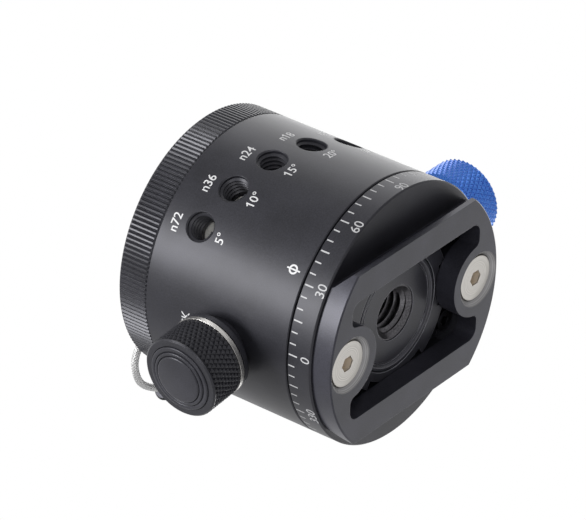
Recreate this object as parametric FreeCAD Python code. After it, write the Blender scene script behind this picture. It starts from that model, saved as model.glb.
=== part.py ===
import FreeCAD, Part
import math
import os

# Panoramic tripod head: an indexing rotator that stands between a tripod and a camera.
#
# The frame has its origin at the middle of the foot's lower face. +Z is the pan axis and
# runs up to the camera stud, and +X runs through the two foot screws. Angles are in degrees
# from +X, anticlockwise as seen from above, and rise in the same sense as the dial.
#
# Fixed:   foot plate, graduated dial ring, spindle, index drum and the bearing's inner race.
# Turning: body shell, knurled flange, camera plate and all that is fastened to them.
# All lengths are in millimetres.

VEC = FreeCAD.Vector
UP = VEC(0, 0, 1)
ORIGIN = VEC(0, 0, 0)

# ---------------------------------------------------------------- clearances
FIT = 0.03            # radial gap of pieces that are screwed or pressed together
RUN = 0.05            # radial gap of a guided pin or screw
SIDE_GAP = 0.3        # open gap beside a turning face
PART_LINE = 0.4       # height of the dark line between dial ring and body shell
CUT = 1.0             # how far a cutting tool reaches past the face that it opens

# ---------------------------------------------------------------- body
BODY_RADIUS = 27.5
BODY_WALL = 7.0
BODY_HEIGHT = 35.0
BODY_EDGE = 0.2       # chamfer round both ends of the shell

# ---------------------------------------------------------------- foot plate
FOOT_WIDTH = 38.0     # across the dovetail
FOOT_RADIUS = 26.8
FOOT_THICKNESS = 4.5
FOOT_LIP = 1.2        # upright edge under the sloping flank
FOOT_FLANK = 2.8      # height of the 45 degree flank
FOOT_EDGE = 0.25
WINDOW_HALF_WIDTH = 13.3
WINDOW_HALF_LENGTH = 20.4
WINDOW_CORNER = 2.3   # rounding of its outer corners
WINDOW_NECK = 1.5     # and of the corners beside the screw bosses
FOOT_BOSS_RADIUS = 8.0
FOOT_SCREW_X = 20.6
FOOT_SCREW_RADIUS = 2.5
FOOT_SCREW_END_GAP = 0.4
FOOT_SCREW_HEAD_RADIUS = 4.72
FOOT_SCREW_SINK = 0.75
COUNTERSINK_RADIUS = 5.9
FOOT_SCREW_HOLE_CLEARANCE = 0.25
FOOT_SCREW_KEY = 3.0  # across flats
FOOT_SCREW_KEY_DEPTH = 2.0

# ---------------------------------------------------------------- dial ring
DIAL_THICKNESS = 5.5
DIAL_LOWER_EDGE = 0.3
DIAL_UPPER_EDGE = 0.1
DIAL_WEB = 1.8
DIAL_WALL = 3.9
DIAL_BOSS_RADIUS = 5.6
POCKET_SEAT = 0.8     # how far the foot overlaps the solid sides of the pocket

# ---------------------------------------------------------------- spindle
HUB_RADIUS = 12.3
HUB_FACE_Z = 5.0
HUB_RIM_HEIGHT = 0.4
HUB_RIM_WIDTH = 1.3
HUB_GROOVE_WIDTH = 0.5
HUB_GROOVE_DEPTH = 0.3
SHOULDER_RADIUS = 14.0
SHOULDER_HEIGHT = 2.0
COLUMN_RADIUS = 9.0
SPINDLE_THREAD_RADIUS = 7.0
SPINDLE_BORE_RADIUS = 5.0
SPINDLE_BORE_DEPTH = 20.0

# ---------------------------------------------------------------- tripod socket
SOCKET_RADIUS = 4.76  # 3/8 inch, major radius
SOCKET_MOUTH = 0.8    # chamfer at the mouth
BUSH_RADIUS = 5.8
BUSH_LENGTH = 13.5
BUSH_RECESS = 0.2

# ---------------------------------------------------------------- ring nut of the hub
RING_NUT_FACE_GAP = 0.15  # from the foot plate's upper face
RING_NUT_RADIUS = 14.2
RING_NUT_LUG_GAP = 2.05   # from a lug to the base screws' heads
RING_NUT_LUG_ANGLE = 37.5
RING_NUT_LUG_SPAN = 37.4

# ---------------------------------------------------------------- base screws
BASE_SCREW_INSET = 3.2    # screw axis to the pocket's wall
BASE_SCREW_ANGLE = 30.5
BASE_SCREW_RADIUS = 1.25
BASE_SCREW_HEAD_RADIUS = 2.25
BASE_SCREW_HEAD_HEIGHT = 2.5
BASE_SCREW_LENGTH = 4.2
BASE_SCREW_KEY = 2.0

# ---------------------------------------------------------------- index drum
DRUM_GAP = 0.5            # drum to the bore of the body
DRUM_BORE_RADIUS = 15.0
DRUM_TOP_GAP = 0.6        # above the drum's rim, and below the bearing boss
DRUM_WEB = 5.0
DRUM_FLANGE_THICKNESS = 2.8
DETENT_RADIUS = 0.8
DETENT_MARGIN = 0.05
DOWEL_RADIUS = 1.5
DOWEL_RING = 18.2
DOWEL_LENGTH = 5.0
DOWEL_SINK = 0.2
THRUST_WASHER_THICKNESS = 0.35
THRUST_WASHER_GAP = 0.05
THRUST_WASHER_SIDE = 0.2

# ---------------------------------------------------------------- index ports
# The ports in their order round the body: stops per turn, angle, and height of the axis.
PORT_STOP_COUNTS = [72, 36, 24, 18, 15, 12, 10, 8, 6, 4]
PORT_ANGLES = [218.8, 238.8, 258.6, 278.2, 298.8, 319.5, 340.0, 0.4, 20.8, 41.2]
PORT_HEIGHTS = [36.7, 34.25, 31.8, 29.35, 27.4, 25.45, 23.5, 21.55, 19.6, 17.65]
PORT_RADIUS = 3.0         # M6, major radius
PORT_MOUTH = 0.3
PLUNGER_STOP_COUNT = 8    # the plunger is in the port that has this many stops per turn

# ---------------------------------------------------------------- ball bearing
BEARING_BORE_RADIUS = 8.5
BEARING_OUTER_RADIUS = 15.0
BEARING_WIDTH = 7.0
RACE_GAP = 1.7        # open gap between the two races
BALL_RADIUS = 1.75
BALL_COUNT = 12
BALL_GAP = 0.06
CAGE_THICKNESS = 0.8
CAGE_HEIGHT = 4.2
CIRCLIP_THICKNESS = 1.1
CIRCLIP_WIDTH = 1.7
CIRCLIP_GROOVE = 0.6
CIRCLIP_OPENING = 30.0
BOSS_LIP = 0.9
BOSS_WALL = 2.0       # of the boss that hangs round the bearing
SPIGOT_DEPTH = 3.4    # how far the flange reaches into the shell
PRELOAD_WASHER_HEIGHT = 1.0
PRELOAD_WASHER_THICKNESS = 0.5
PRELOAD_WASHER_WIDTH = 2.0
SPINDLE_NUT_RADIUS = 10.5
SPINDLE_NUT_HEIGHT = 2.5
SPINDLE_NUT_SLOT = 2.4
SPINDLE_TOP = 0.1         # spindle stands this much above its nut
SPINDLE_HEADROOM = 0.6

# ---------------------------------------------------------------- knurled flange
FLANGE_THICKNESS = 6.9
FLANGE_EDGE = 0.35
FLANGE_WELL_RADIUS = 13.0
FLANGE_SCREW_ANGLE = 75.0
FLANGE_SCREW_COUNT = 4
M3_RADIUS = 1.5
M3_HEAD_RADIUS = 2.75
M3_HEAD_HEIGHT = 3.0
M3_KEY = 2.5
COUNTERBORE_GAP = 0.15    # radial gap round an M3 head
FLANGE_SCREW_INSET = 3.75 # screw axis to the rim
FLANGE_SCREW_REACH = 5.4  # how deep a flange screw goes into the shell
SCREW_TIP_GAP = 0.3

# ---------------------------------------------------------------- camera plate
PLATE_RADIUS = 21.0
PLATE_THICKNESS = 2.1
PLATE_SCREW_RING = 16.5
PLATE_SCREW_COUNT = 3
PLATE_SCREW_HEAD_RADIUS = 2.9
PLATE_SCREW_LENGTH = 5.0
PLATE_SCREW_KEY = 2.0
PAD_THICKNESS = 0.8
PAD_RIM = 0.5             # bare rim of the plate outside the pad
PAD_BORE_RADIUS = 7.0
STUD_RADIUS = 4.76        # 3/8 inch, major radius
STUD_HEIGHT = 9.3         # above the pad
STUD_SEAT_RADIUS = 6.0    # plain foot of the stud, pressed into the plate
STUD_TIP = 0.8
STUD_SLOT = 1.2

# ---------------------------------------------------------------- lock
LOCK_ANGLE = 174.0
LOCK_Z = 26.3
LOCK_SCREW_RADIUS = 3.0
LOCK_COLLAR_RADIUS = 8.5
LOCK_COLLAR_LIP = 1.1     # thickness of the collar's wide end
LOCK_NECK_RADIUS = 6.0    # and the neck that carries it
LOCK_COLLAR_SINK = 1.6    # how deep the neck sits in the body
LOCK_COLLAR_REACH = 3.35  # how far the collar stands out of the body
LOCK_SPIGOT_RADIUS = 5.2
LOCK_SPIGOT_DEPTH = 3.6
LOCK_RELEASE = 0.35       # gap at the pad, and at the collar, when released
LOCK_PAD_LENGTH = 3.0
LOCK_RING_RADIUS = 8.6
LOCK_RING_THICKNESS = 0.95
LOCK_KNOB_RADIUS = 8.65
LOCK_KNOB_LENGTH = 8.1
LOCK_KNOB_EDGE = 0.35
LOCK_CAP_RADIUS = 6.95
LOCK_CAP_SEAT = 1.9
LOCK_CAP_STEP = 0.3       # the cap's outer ring stands this much over the knob's rim
LOCK_CAP_CROWN = 0.45     # and its middle this much over that ring
LOCK_CAP_MIDDLE_RADIUS = 5.3
LOCK_GROOVE_WIDTH = 0.35
LOCK_STUD_END_GAP = 0.6

# ---------------------------------------------------------------- index plunger
INDEX_TIP_GAP = 0.12      # pin tip to drum
INDEX_PIN_RADIUS = 1.2
INDEX_TIP_FLAT = 0.25
INDEX_ROD_RADIUS = 1.0
INDEX_SHOULDER_RADIUS = 2.0
INDEX_SHOULDER_HEIGHT = 0.8
INDEX_NOSE_WALL = 1.6
INDEX_NOSE_RECESS = 0.5
INDEX_PIN_LEAD = 2.0      # from the nose wall to the pin's shoulder
INDEX_CHAMBER_RADIUS = 2.2
INDEX_BARREL_RADIUS = 4.8
INDEX_BARREL_SEAT_GAP = 0.1
INDEX_BARREL_LENGTH = 9.0
INDEX_BARREL_FLATS = 8.4
INDEX_FLATS_HEIGHT = 3.0
INDEX_BUSH_LENGTH = 1.4
INDEX_KNOB_GAP = 0.2
INDEX_KNOB_RADIUS = 8.5
INDEX_KNOB_LENGTH = 8.3
INDEX_KNOB_INNER_EDGE = 0.9
INDEX_KNOB_OUTER_EDGE = 0.5
INDEX_KNOB_HOLLOW_RADIUS = 6.2
INDEX_KNOB_HOLLOW_DEPTH = 1.2
INDEX_CAP_RADIUS = 4.0
INDEX_CAP_THICKNESS = 1.4
INDEX_ROD_END_GAP = 1.0
SPRING_WIRE_RADIUS = 0.2
SPRING_RADIUS = 1.65
SPRING_TURNS = 9
SPRING_END_GAP = 0.05

# ---------------------------------------------------------------- tether
TETHER_RADIUS = 0.8
TETHER_LIFT = 0.05        # cable over the flange's top face
TETHER_FIT = 0.08
SLEEVE_RADIUS = 2.3
SLEEVE_HALF_LENGTH = 3.2
SLEEVE_EDGE = 0.4
SLEEVE_ANGLE = 28.0
SLEEVE_X = -9.9
SLEEVE_Y = 32.7
TETHER_END_GAP = 0.2
TETHER_LEFT_REACH = 4.8
TETHER_RIGHT_REACH = 4.8
# Corners of the cable's route between its two runs into the sleeve. The clamp holds the run
# between the first two corners of the inner stretch.
TETHER_OUTER_ROUTE = [(-18.8, 27.5), (-20.9, 24.7), (-21.8, 20.4),
                      (-20.1, 17.1), (-16.9, 16.2), (-13.8, 17.5)]
TETHER_INNER_ROUTE = [(-10.5, 20.1), (-6.9, 22.5), (-3.3, 25.0),
                      (-0.9, 27.9), (-0.4, 31.3), (-2.2, 34.5)]
CLAMP_WIDTH = 2.6
CLAMP_HEIGHT = 2.3
CLAMP_INNER_REACH = 1.7
CLAMP_OUTER_REACH = 3.5
CLAMP_SCREW_OFFSET = 2.15
CLAMP_SCREW_RADIUS = 0.8
CLAMP_SCREW_HEAD_RADIUS = 1.25
CLAMP_SCREW_HEAD_HEIGHT = 0.5
CLAMP_SCREW_DEPTH = 3.0

# ---------------------------------------------------------------- levels that follow
WEB_Z = FOOT_THICKNESS + DIAL_THICKNESS - DIAL_WEB
DIAL_TOP_Z = FOOT_THICKNESS + DIAL_THICKNESS
SHELL_Z = DIAL_TOP_Z + PART_LINE
FLANGE_Z = SHELL_Z + BODY_HEIGHT
FLANGE_TOP_Z = FLANGE_Z + FLANGE_THICKNESS
PLATE_TOP_Z = FLANGE_TOP_Z + PLATE_THICKNESS
PAD_TOP_Z = PLATE_TOP_Z + PAD_THICKNESS
SPINDLE_TOP_Z = FLANGE_TOP_Z - SPINDLE_HEADROOM
SPINDLE_NUT_Z = SPINDLE_TOP_Z - SPINDLE_TOP - SPINDLE_NUT_HEIGHT
BEARING_TOP_Z = SPINDLE_NUT_Z - PRELOAD_WASHER_HEIGHT
BEARING_Z = BEARING_TOP_Z - BEARING_WIDTH
BEARING_MID_Z = BEARING_Z + BEARING_WIDTH / 2
BOSS_Z = BEARING_Z - CIRCLIP_THICKNESS - BOSS_LIP
SPIGOT_Z = FLANGE_Z - SPIGOT_DEPTH
DRUM_TOP_Z = SPIGOT_Z - DRUM_TOP_GAP
DRUM_STEP_Z = BOSS_Z - DRUM_TOP_GAP
DRUM_FLANGE_TOP_Z = DIAL_TOP_Z + DRUM_FLANGE_THICKNESS
SHOULDER_Z = DIAL_TOP_Z + DRUM_WEB
BALL_RING = (BEARING_BORE_RADIUS + BEARING_OUTER_RADIUS) / 2
LEDGE_Z = DRUM_FLANGE_TOP_Z + THRUST_WASHER_THICKNESS + THRUST_WASHER_GAP

POCKET_RADIUS = BODY_RADIUS - DIAL_WALL
POCKET_HALF_WIDTH = FOOT_WIDTH / 2 - FOOT_FLANK - POCKET_SEAT
BASE_SCREW_RING = POCKET_RADIUS - BASE_SCREW_INSET
RING_NUT_LUG_RADIUS = BASE_SCREW_RING - BASE_SCREW_HEAD_RADIUS - RING_NUT_LUG_GAP
RING_NUT_FACE_Z = FOOT_THICKNESS + RING_NUT_FACE_GAP
BODY_BORE_RADIUS = BODY_RADIUS - BODY_WALL
DRUM_FLANGE_RADIUS = POCKET_RADIUS
DRUM_RADIUS = BODY_BORE_RADIUS - DRUM_GAP
BOSS_RADIUS = BEARING_OUTER_RADIUS + BOSS_WALL
DRUM_RIM_BORE_RADIUS = BOSS_RADIUS + DRUM_GAP
RACE_THICKNESS = (BEARING_OUTER_RADIUS - BEARING_BORE_RADIUS - RACE_GAP) / 2
FLANGE_SCREW_RING = BODY_RADIUS - FLANGE_SCREW_INSET
PORTS = list(zip(PORT_STOP_COUNTS, PORT_ANGLES, PORT_HEIGHTS))

# Distances from the pan axis along the lock's axis.
LOCK_COLLAR_SEAT = BODY_RADIUS - LOCK_COLLAR_SINK
LOCK_COLLAR_TOP = BODY_RADIUS + LOCK_COLLAR_REACH
LOCK_PAD_FACE = DRUM_RADIUS + LOCK_RELEASE
LOCK_STUD_FACE = LOCK_PAD_FACE + LOCK_PAD_LENGTH + FIT
LOCK_RING_FACE = LOCK_COLLAR_TOP + LOCK_RELEASE
LOCK_KNOB_FACE = LOCK_RING_FACE + LOCK_RING_THICKNESS
LOCK_KNOB_END = LOCK_KNOB_FACE + LOCK_KNOB_LENGTH

# Distances from the pan axis along the plunger's axis.
INDEX_TIP = DRUM_RADIUS + INDEX_TIP_GAP
INDEX_NOSE = BODY_BORE_RADIUS + INDEX_NOSE_RECESS
INDEX_BARREL_SEAT = BODY_RADIUS + INDEX_BARREL_SEAT_GAP
INDEX_BARREL_END = INDEX_BARREL_SEAT + INDEX_BARREL_LENGTH
INDEX_SHOULDER = INDEX_NOSE + INDEX_NOSE_WALL + INDEX_PIN_LEAD
INDEX_KNOB_FACE = INDEX_BARREL_END + INDEX_KNOB_GAP
INDEX_KNOB_END = INDEX_KNOB_FACE + INDEX_KNOB_LENGTH
INDEX_CAP_FACE = INDEX_KNOB_END - INDEX_CAP_THICKNESS
INDEX_ROD_END = INDEX_CAP_FACE - INDEX_ROD_END_GAP
INDEX_BUSH_FACE = INDEX_BARREL_END - INDEX_BUSH_LENGTH


# ================================================================ helpers
def cylinder(radius, low, high, x=0, y=0):
    return Part.makeCylinder(radius, high - low, VEC(x, y, low))


def tube(outer, inner, low, high):
    return cylinder(outer, low, high).cut(cylinder(inner, low - CUT, high + CUT))


def turned(profile):
    """A solid of revolution about Z from (radius, height) corners."""
    points = [VEC(radius, 0, height) for radius, height in profile]
    face = Part.Face(Part.makePolygon(points + [points[0]]))
    return face.revolve(ORIGIN, UP, 360)


def hexagon(across_flats, low, high, x=0, y=0):
    corner = across_flats / math.sqrt(3)
    points = [
        VEC(x + corner * math.cos(math.radians(60 * k)), y + corner * math.sin(math.radians(60 * k)), low)
        for k in range(7)
    ]
    return Part.Face(Part.makePolygon(points)).extrude(VEC(0, 0, high - low))


def polar(radius, angle):
    return radius * math.cos(math.radians(angle)), radius * math.sin(math.radians(angle))


def radial(shape, angle, height):
    """Lay a shape built along +Z outward along the radius at this angle and height."""
    placed = shape.copy()
    placed.rotate(ORIGIN, VEC(0, 1, 0), 90)
    placed.rotate(ORIGIN, UP, angle)
    placed.translate(VEC(0, 0, height))
    return placed


def corner_signs():
    return [(sx, sy) for sx in (1, -1) for sy in (1, -1)]


# ================================================================ base
def end_corners(tool, distance):
    """The upright edges at the ends of the window that stand this far to either side."""
    corners = []
    for edge in tool.Edges:
        middle = edge.CenterOfMass
        upright = abs(edge.tangentAt(edge.FirstParameter).z) > 0.99
        off = max(abs(abs(middle.x) - WINDOW_HALF_LENGTH), abs(abs(middle.y) - distance))
        if upright and off < 0.01:
            corners.append(edge)
    return corners


def window_tool():
    """The opening through the foot: a slot with rounded corners, round the two screw bosses."""
    low, high = -CUT, FOOT_THICKNESS + CUT
    slot = Part.makeBox(2 * WINDOW_HALF_LENGTH, 2 * WINDOW_HALF_WIDTH, high - low,
                        VEC(-WINDOW_HALF_LENGTH, -WINDOW_HALF_WIDTH, low))
    bosses = [cylinder(FOOT_BOSS_RADIUS, low - CUT, high + CUT, sx * FOOT_SCREW_X) for sx in (1, -1)]
    tool = slot.cut(Part.makeCompound(bosses)).removeSplitter()
    tool = tool.makeFillet(WINDOW_CORNER, end_corners(tool, WINDOW_HALF_WIDTH))
    neck_y = math.sqrt(FOOT_BOSS_RADIUS ** 2 - (FOOT_SCREW_X - WINDOW_HALF_LENGTH) ** 2)
    return tool.makeFillet(WINDOW_NECK, end_corners(tool, neck_y))


def foot_plate():
    half = FOOT_WIDTH / 2
    flank_top = FOOT_LIP + FOOT_FLANK
    outline = [(-half, 0), (half, 0), (half, FOOT_LIP), (half - FOOT_FLANK, flank_top),
               (half - FOOT_FLANK, FOOT_THICKNESS), (FOOT_FLANK - half, FOOT_THICKNESS),
               (FOOT_FLANK - half, flank_top), (-half, FOOT_LIP)]
    points = [VEC(-FOOT_RADIUS - CUT, y, z) for y, z in outline]
    bar = Part.Face(Part.makePolygon(points + [points[0]])).extrude(VEC(2 * (FOOT_RADIUS + CUT), 0, 0))
    disc = turned([(0, 0), (FOOT_RADIUS - FOOT_EDGE, 0), (FOOT_RADIUS, FOOT_EDGE),
                   (FOOT_RADIUS, FOOT_THICKNESS), (0, FOOT_THICKNESS)])
    plate = bar.common(disc).cut(window_tool())
    hole_radius = FOOT_SCREW_RADIUS + FOOT_SCREW_HOLE_CLEARANCE
    for sx in (1, -1):
        sink = turned([(0, -CUT), (COUNTERSINK_RADIUS + CUT, -CUT),
                       (hole_radius, COUNTERSINK_RADIUS - hole_radius),
                       (hole_radius, FOOT_THICKNESS + CUT), (0, FOOT_THICKNESS + CUT)])
        sink.translate(VEC(sx * FOOT_SCREW_X, 0, 0))
        plate = plate.cut(sink)
    return plate


def foot_screws():
    head = FOOT_SCREW_HEAD_RADIUS
    shank = FOOT_SCREW_RADIUS - FIT
    rim_z = COUNTERSINK_RADIUS - FIT - head
    neck_z = COUNTERSINK_RADIUS - FIT - shank
    screws = []
    for sx in (1, -1):
        screw = turned([(0, FOOT_SCREW_SINK), (head, FOOT_SCREW_SINK), (head, rim_z), (shank, neck_z),
                        (shank, DIAL_TOP_Z - FOOT_SCREW_END_GAP), (0, DIAL_TOP_Z - FOOT_SCREW_END_GAP)])
        screw = screw.cut(hexagon(FOOT_SCREW_KEY, FOOT_SCREW_SINK - CUT,
                                  FOOT_SCREW_SINK + FOOT_SCREW_KEY_DEPTH))
        screw.translate(VEC(sx * FOOT_SCREW_X, 0, 0))
        screws.append(screw)
    return Part.makeCompound(screws)


def base_screw_places():
    x, y = polar(BASE_SCREW_RING, BASE_SCREW_ANGLE)
    return [(sx * x, sy * y) for sx, sy in corner_signs()]


def dial_ring():
    ring = turned([
        (HUB_RADIUS + FIT, WEB_Z), (POCKET_RADIUS, WEB_Z), (POCKET_RADIUS, FOOT_THICKNESS),
        (BODY_RADIUS - DIAL_LOWER_EDGE, FOOT_THICKNESS), (BODY_RADIUS, FOOT_THICKNESS + DIAL_LOWER_EDGE),
        (BODY_RADIUS, DIAL_TOP_Z - DIAL_UPPER_EDGE), (BODY_RADIUS - DIAL_UPPER_EDGE, DIAL_TOP_Z),
        (HUB_RADIUS + FIT, DIAL_TOP_Z)])
    for sx in (1, -1):
        boss = cylinder(DIAL_BOSS_RADIUS, FOOT_THICKNESS, DIAL_TOP_Z - DIAL_WEB / 2, sx * FOOT_SCREW_X)
        ring = ring.fuse(boss.common(cylinder(POCKET_RADIUS + DIAL_WEB, 0, DIAL_TOP_Z)))
    # Beyond the foot's seat the ring is solid, so that the pocket shows only through the window.
    sides = cylinder(POCKET_RADIUS + CUT, FOOT_THICKNESS, DIAL_TOP_Z - DIAL_WEB / 2)
    middle = Part.makeBox(2 * BODY_RADIUS, 2 * POCKET_HALF_WIDTH, DIAL_TOP_Z,
                          VEC(-BODY_RADIUS, -POCKET_HALF_WIDTH, 0))
    ring = ring.fuse(sides.cut(middle))
    holes = [cylinder(FOOT_SCREW_RADIUS, 0, DIAL_TOP_Z + CUT, sx * FOOT_SCREW_X) for sx in (1, -1)]
    holes += [cylinder(BASE_SCREW_RADIUS + RUN, 0, DIAL_TOP_Z + CUT, x, y) for x, y in base_screw_places()]
    holes += [cylinder(DOWEL_RADIUS + FIT, WEB_Z, DIAL_TOP_Z + CUT, 0, sy * DOWEL_RING) for sy in (1, -1)]
    return ring.cut(Part.makeCompound(holes)).removeSplitter()


def base_screws():
    screws = []
    head_z = WEB_Z - BASE_SCREW_HEAD_HEIGHT
    for x, y in base_screw_places():
        screw = cylinder(BASE_SCREW_HEAD_RADIUS, head_z, WEB_Z, x, y)
        screw = screw.fuse(cylinder(BASE_SCREW_RADIUS - FIT, WEB_Z, WEB_Z + BASE_SCREW_LENGTH, x, y))
        screw = screw.cut(hexagon(BASE_SCREW_KEY, head_z - CUT, head_z + BASE_SCREW_HEAD_HEIGHT / 2, x, y))
        screws.append(screw)
    return Part.makeCompound(screws)


def spindle():
    groove_outer = HUB_RADIUS - HUB_RIM_WIDTH
    groove_inner = groove_outer - HUB_GROOVE_WIDTH
    rim_z = HUB_FACE_Z - HUB_RIM_HEIGHT
    bevel = HUB_RIM_HEIGHT
    body = turned([
        (0, HUB_FACE_Z), (groove_inner, HUB_FACE_Z), (groove_inner, HUB_FACE_Z + HUB_GROOVE_DEPTH),
        (groove_outer, HUB_FACE_Z + HUB_GROOVE_DEPTH), (groove_outer, HUB_FACE_Z),
        (groove_outer + bevel, rim_z), (HUB_RADIUS - bevel, rim_z), (HUB_RADIUS, HUB_FACE_Z),
        (HUB_RADIUS, SHOULDER_Z), (SHOULDER_RADIUS, SHOULDER_Z),
        (SHOULDER_RADIUS, SHOULDER_Z + SHOULDER_HEIGHT), (COLUMN_RADIUS, SHOULDER_Z + SHOULDER_HEIGHT),
        (COLUMN_RADIUS, BEARING_Z), (BEARING_BORE_RADIUS - FIT, BEARING_Z),
        (BEARING_BORE_RADIUS - FIT, BEARING_TOP_Z), (SPINDLE_THREAD_RADIUS, BEARING_TOP_Z),
        (SPINDLE_THREAD_RADIUS, SPINDLE_TOP_Z), (0, SPINDLE_TOP_Z)])
    body = body.cut(cylinder(BUSH_RADIUS + FIT, 0, HUB_FACE_Z + BUSH_RECESS + BUSH_LENGTH))
    return body.cut(cylinder(SPINDLE_BORE_RADIUS, 0, HUB_FACE_Z + SPINDLE_BORE_DEPTH))


def socket_bush():
    low = HUB_FACE_Z + BUSH_RECESS
    high = low + BUSH_LENGTH
    return turned([
        (SOCKET_RADIUS + SOCKET_MOUTH, low), (BUSH_RADIUS, low), (BUSH_RADIUS, high),
        (SOCKET_RADIUS, high), (SOCKET_RADIUS, low + SOCKET_MOUTH)])


def hub_ring_nut():
    lug_ring = tube(RING_NUT_LUG_RADIUS, RING_NUT_RADIUS - CUT, RING_NUT_FACE_Z, WEB_Z)
    lugs = []
    half = math.radians(RING_NUT_LUG_SPAN / 2)
    reach = RING_NUT_LUG_RADIUS * 2
    wedge = Part.makePolygon([ORIGIN, VEC(reach * math.cos(half), -reach * math.sin(half), 0),
                              VEC(reach * math.cos(half), reach * math.sin(half), 0), ORIGIN])
    for angle in (RING_NUT_LUG_ANGLE, 180 - RING_NUT_LUG_ANGLE,
                  180 + RING_NUT_LUG_ANGLE, -RING_NUT_LUG_ANGLE):
        sector = Part.Face(wedge).extrude(VEC(0, 0, WEB_Z + CUT))
        sector.rotate(ORIGIN, UP, angle)
        lugs.append(lug_ring.common(sector))
    body = tube(RING_NUT_RADIUS, HUB_RADIUS + FIT, RING_NUT_FACE_Z, WEB_Z)
    return body.fuse(lugs).removeSplitter()


def index_drum():
    body = turned([
        (HUB_RADIUS + FIT, DIAL_TOP_Z), (DRUM_FLANGE_RADIUS, DIAL_TOP_Z),
        (DRUM_FLANGE_RADIUS, DRUM_FLANGE_TOP_Z), (DRUM_RADIUS, DRUM_FLANGE_TOP_Z),
        (DRUM_RADIUS, DRUM_TOP_Z), (DRUM_RIM_BORE_RADIUS, DRUM_TOP_Z),
        (DRUM_RIM_BORE_RADIUS, DRUM_STEP_Z), (DRUM_BORE_RADIUS, DRUM_STEP_Z),
        (DRUM_BORE_RADIUS, SHOULDER_Z), (HUB_RADIUS + FIT, SHOULDER_Z)])
    screw_depth = WEB_Z + BASE_SCREW_LENGTH + SCREW_TIP_GAP
    holes = [cylinder(BASE_SCREW_RADIUS, 0, min(screw_depth, DRUM_FLANGE_TOP_Z + CUT), x, y)
             for x, y in base_screw_places()]
    dowel_top = WEB_Z + DOWEL_SINK + DOWEL_LENGTH
    holes += [cylinder(DOWEL_RADIUS + FIT, 0, dowel_top, 0, sy * DOWEL_RING) for sy in (1, -1)]
    body = body.cut(Part.makeCompound(holes))
    # Each row has one conical detent straight behind its port, and the rest evenly round the drum.
    apex_ring = DRUM_RADIUS - DETENT_RADIUS
    detents = []
    height = DETENT_RADIUS + DETENT_MARGIN
    for stops, port_angle, port_z in PORTS:
        for stop in range(stops):
            x, y = polar(apex_ring, port_angle + 360.0 * stop / stops)
            detents.append(Part.makeCone(0, height, height, VEC(x, y, port_z), VEC(x, y, 0)))
    return body.cut(Part.makeCompound(detents))


def drum_dowels():
    low = WEB_Z + DOWEL_SINK
    return Part.makeCompound([cylinder(DOWEL_RADIUS, low, low + DOWEL_LENGTH, 0, sy * DOWEL_RING)
                              for sy in (1, -1)])


def thrust_washer():
    return tube(DRUM_FLANGE_RADIUS - THRUST_WASHER_SIDE, DRUM_RADIUS + THRUST_WASHER_SIDE,
                DRUM_FLANGE_TOP_Z, DRUM_FLANGE_TOP_Z + THRUST_WASHER_THICKNESS)


# ================================================================ bearing
def race_groove():
    return Part.makeTorus(BALL_RING, BALL_RADIUS + BALL_GAP, VEC(0, 0, BEARING_MID_Z))


def bearing_inner_race():
    inner = BEARING_BORE_RADIUS
    return tube(inner + RACE_THICKNESS, inner, BEARING_Z, BEARING_TOP_Z).cut(race_groove())


def bearing_outer_race():
    outer = BEARING_OUTER_RADIUS - FIT
    return tube(outer, outer - RACE_THICKNESS, BEARING_Z, BEARING_TOP_Z).cut(race_groove())


def ball_centres():
    places = [polar(BALL_RING, 360.0 * (k + 0.5) / BALL_COUNT) for k in range(BALL_COUNT)]
    return [VEC(x, y, BEARING_MID_Z) for x, y in places]


def bearing_balls():
    return Part.makeCompound([Part.makeSphere(BALL_RADIUS, centre) for centre in ball_centres()])


def bearing_cage():
    low = BEARING_MID_Z - CAGE_HEIGHT / 2
    ring = tube(BALL_RING + CAGE_THICKNESS / 2, BALL_RING - CAGE_THICKNESS / 2, low, low + CAGE_HEIGHT)
    pockets = []
    for centre in ball_centres():
        outward = VEC(centre.x, centre.y, 0).normalize().multiply(CAGE_THICKNESS)
        pockets.append(Part.makeCylinder(BALL_RADIUS + BALL_GAP, 2 * CAGE_THICKNESS,
                                         centre.sub(outward), outward))
    return ring.cut(Part.makeCompound(pockets))


def bearing_circlip():
    outer = BEARING_OUTER_RADIUS + CIRCLIP_GROOVE - RUN
    low = BEARING_Z - CIRCLIP_THICKNESS
    ring = tube(outer, outer - CIRCLIP_WIDTH - CIRCLIP_GROOVE, low, BEARING_Z - FIT)
    half = math.radians(CIRCLIP_OPENING / 2)
    reach = outer * 2
    gap = Part.makePolygon([ORIGIN, VEC(reach * math.cos(half), -reach * math.sin(half), 0),
                            VEC(reach * math.cos(half), reach * math.sin(half), 0), ORIGIN])
    return ring.cut(Part.Face(gap).extrude(VEC(0, 0, BEARING_Z + CUT)))


def preload_washer():
    """A coned spring washer between the inner race and the spindle nut."""
    inner = BEARING_BORE_RADIUS + FIT
    outer = inner + PRELOAD_WASHER_WIDTH
    rise = PRELOAD_WASHER_HEIGHT - PRELOAD_WASHER_THICKNESS
    low = BEARING_TOP_Z
    return turned([(inner, low + rise), (outer, low), (outer, low + PRELOAD_WASHER_THICKNESS),
                   (inner, low + PRELOAD_WASHER_HEIGHT)])


def spindle_nut():
    nut = tube(SPINDLE_NUT_RADIUS, SPINDLE_THREAD_RADIUS + FIT, SPINDLE_NUT_Z,
               SPINDLE_NUT_Z + SPINDLE_NUT_HEIGHT)
    slot = Part.makeBox(2 * (SPINDLE_NUT_RADIUS + CUT), SPINDLE_NUT_SLOT, SPINDLE_NUT_HEIGHT,
                        VEC(-SPINDLE_NUT_RADIUS - CUT, -SPINDLE_NUT_SLOT / 2,
                            SPINDLE_NUT_Z + SPINDLE_NUT_HEIGHT / 2))
    other = slot.copy()
    other.rotate(ORIGIN, UP, 90)
    return nut.cut(slot).cut(other)


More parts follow.
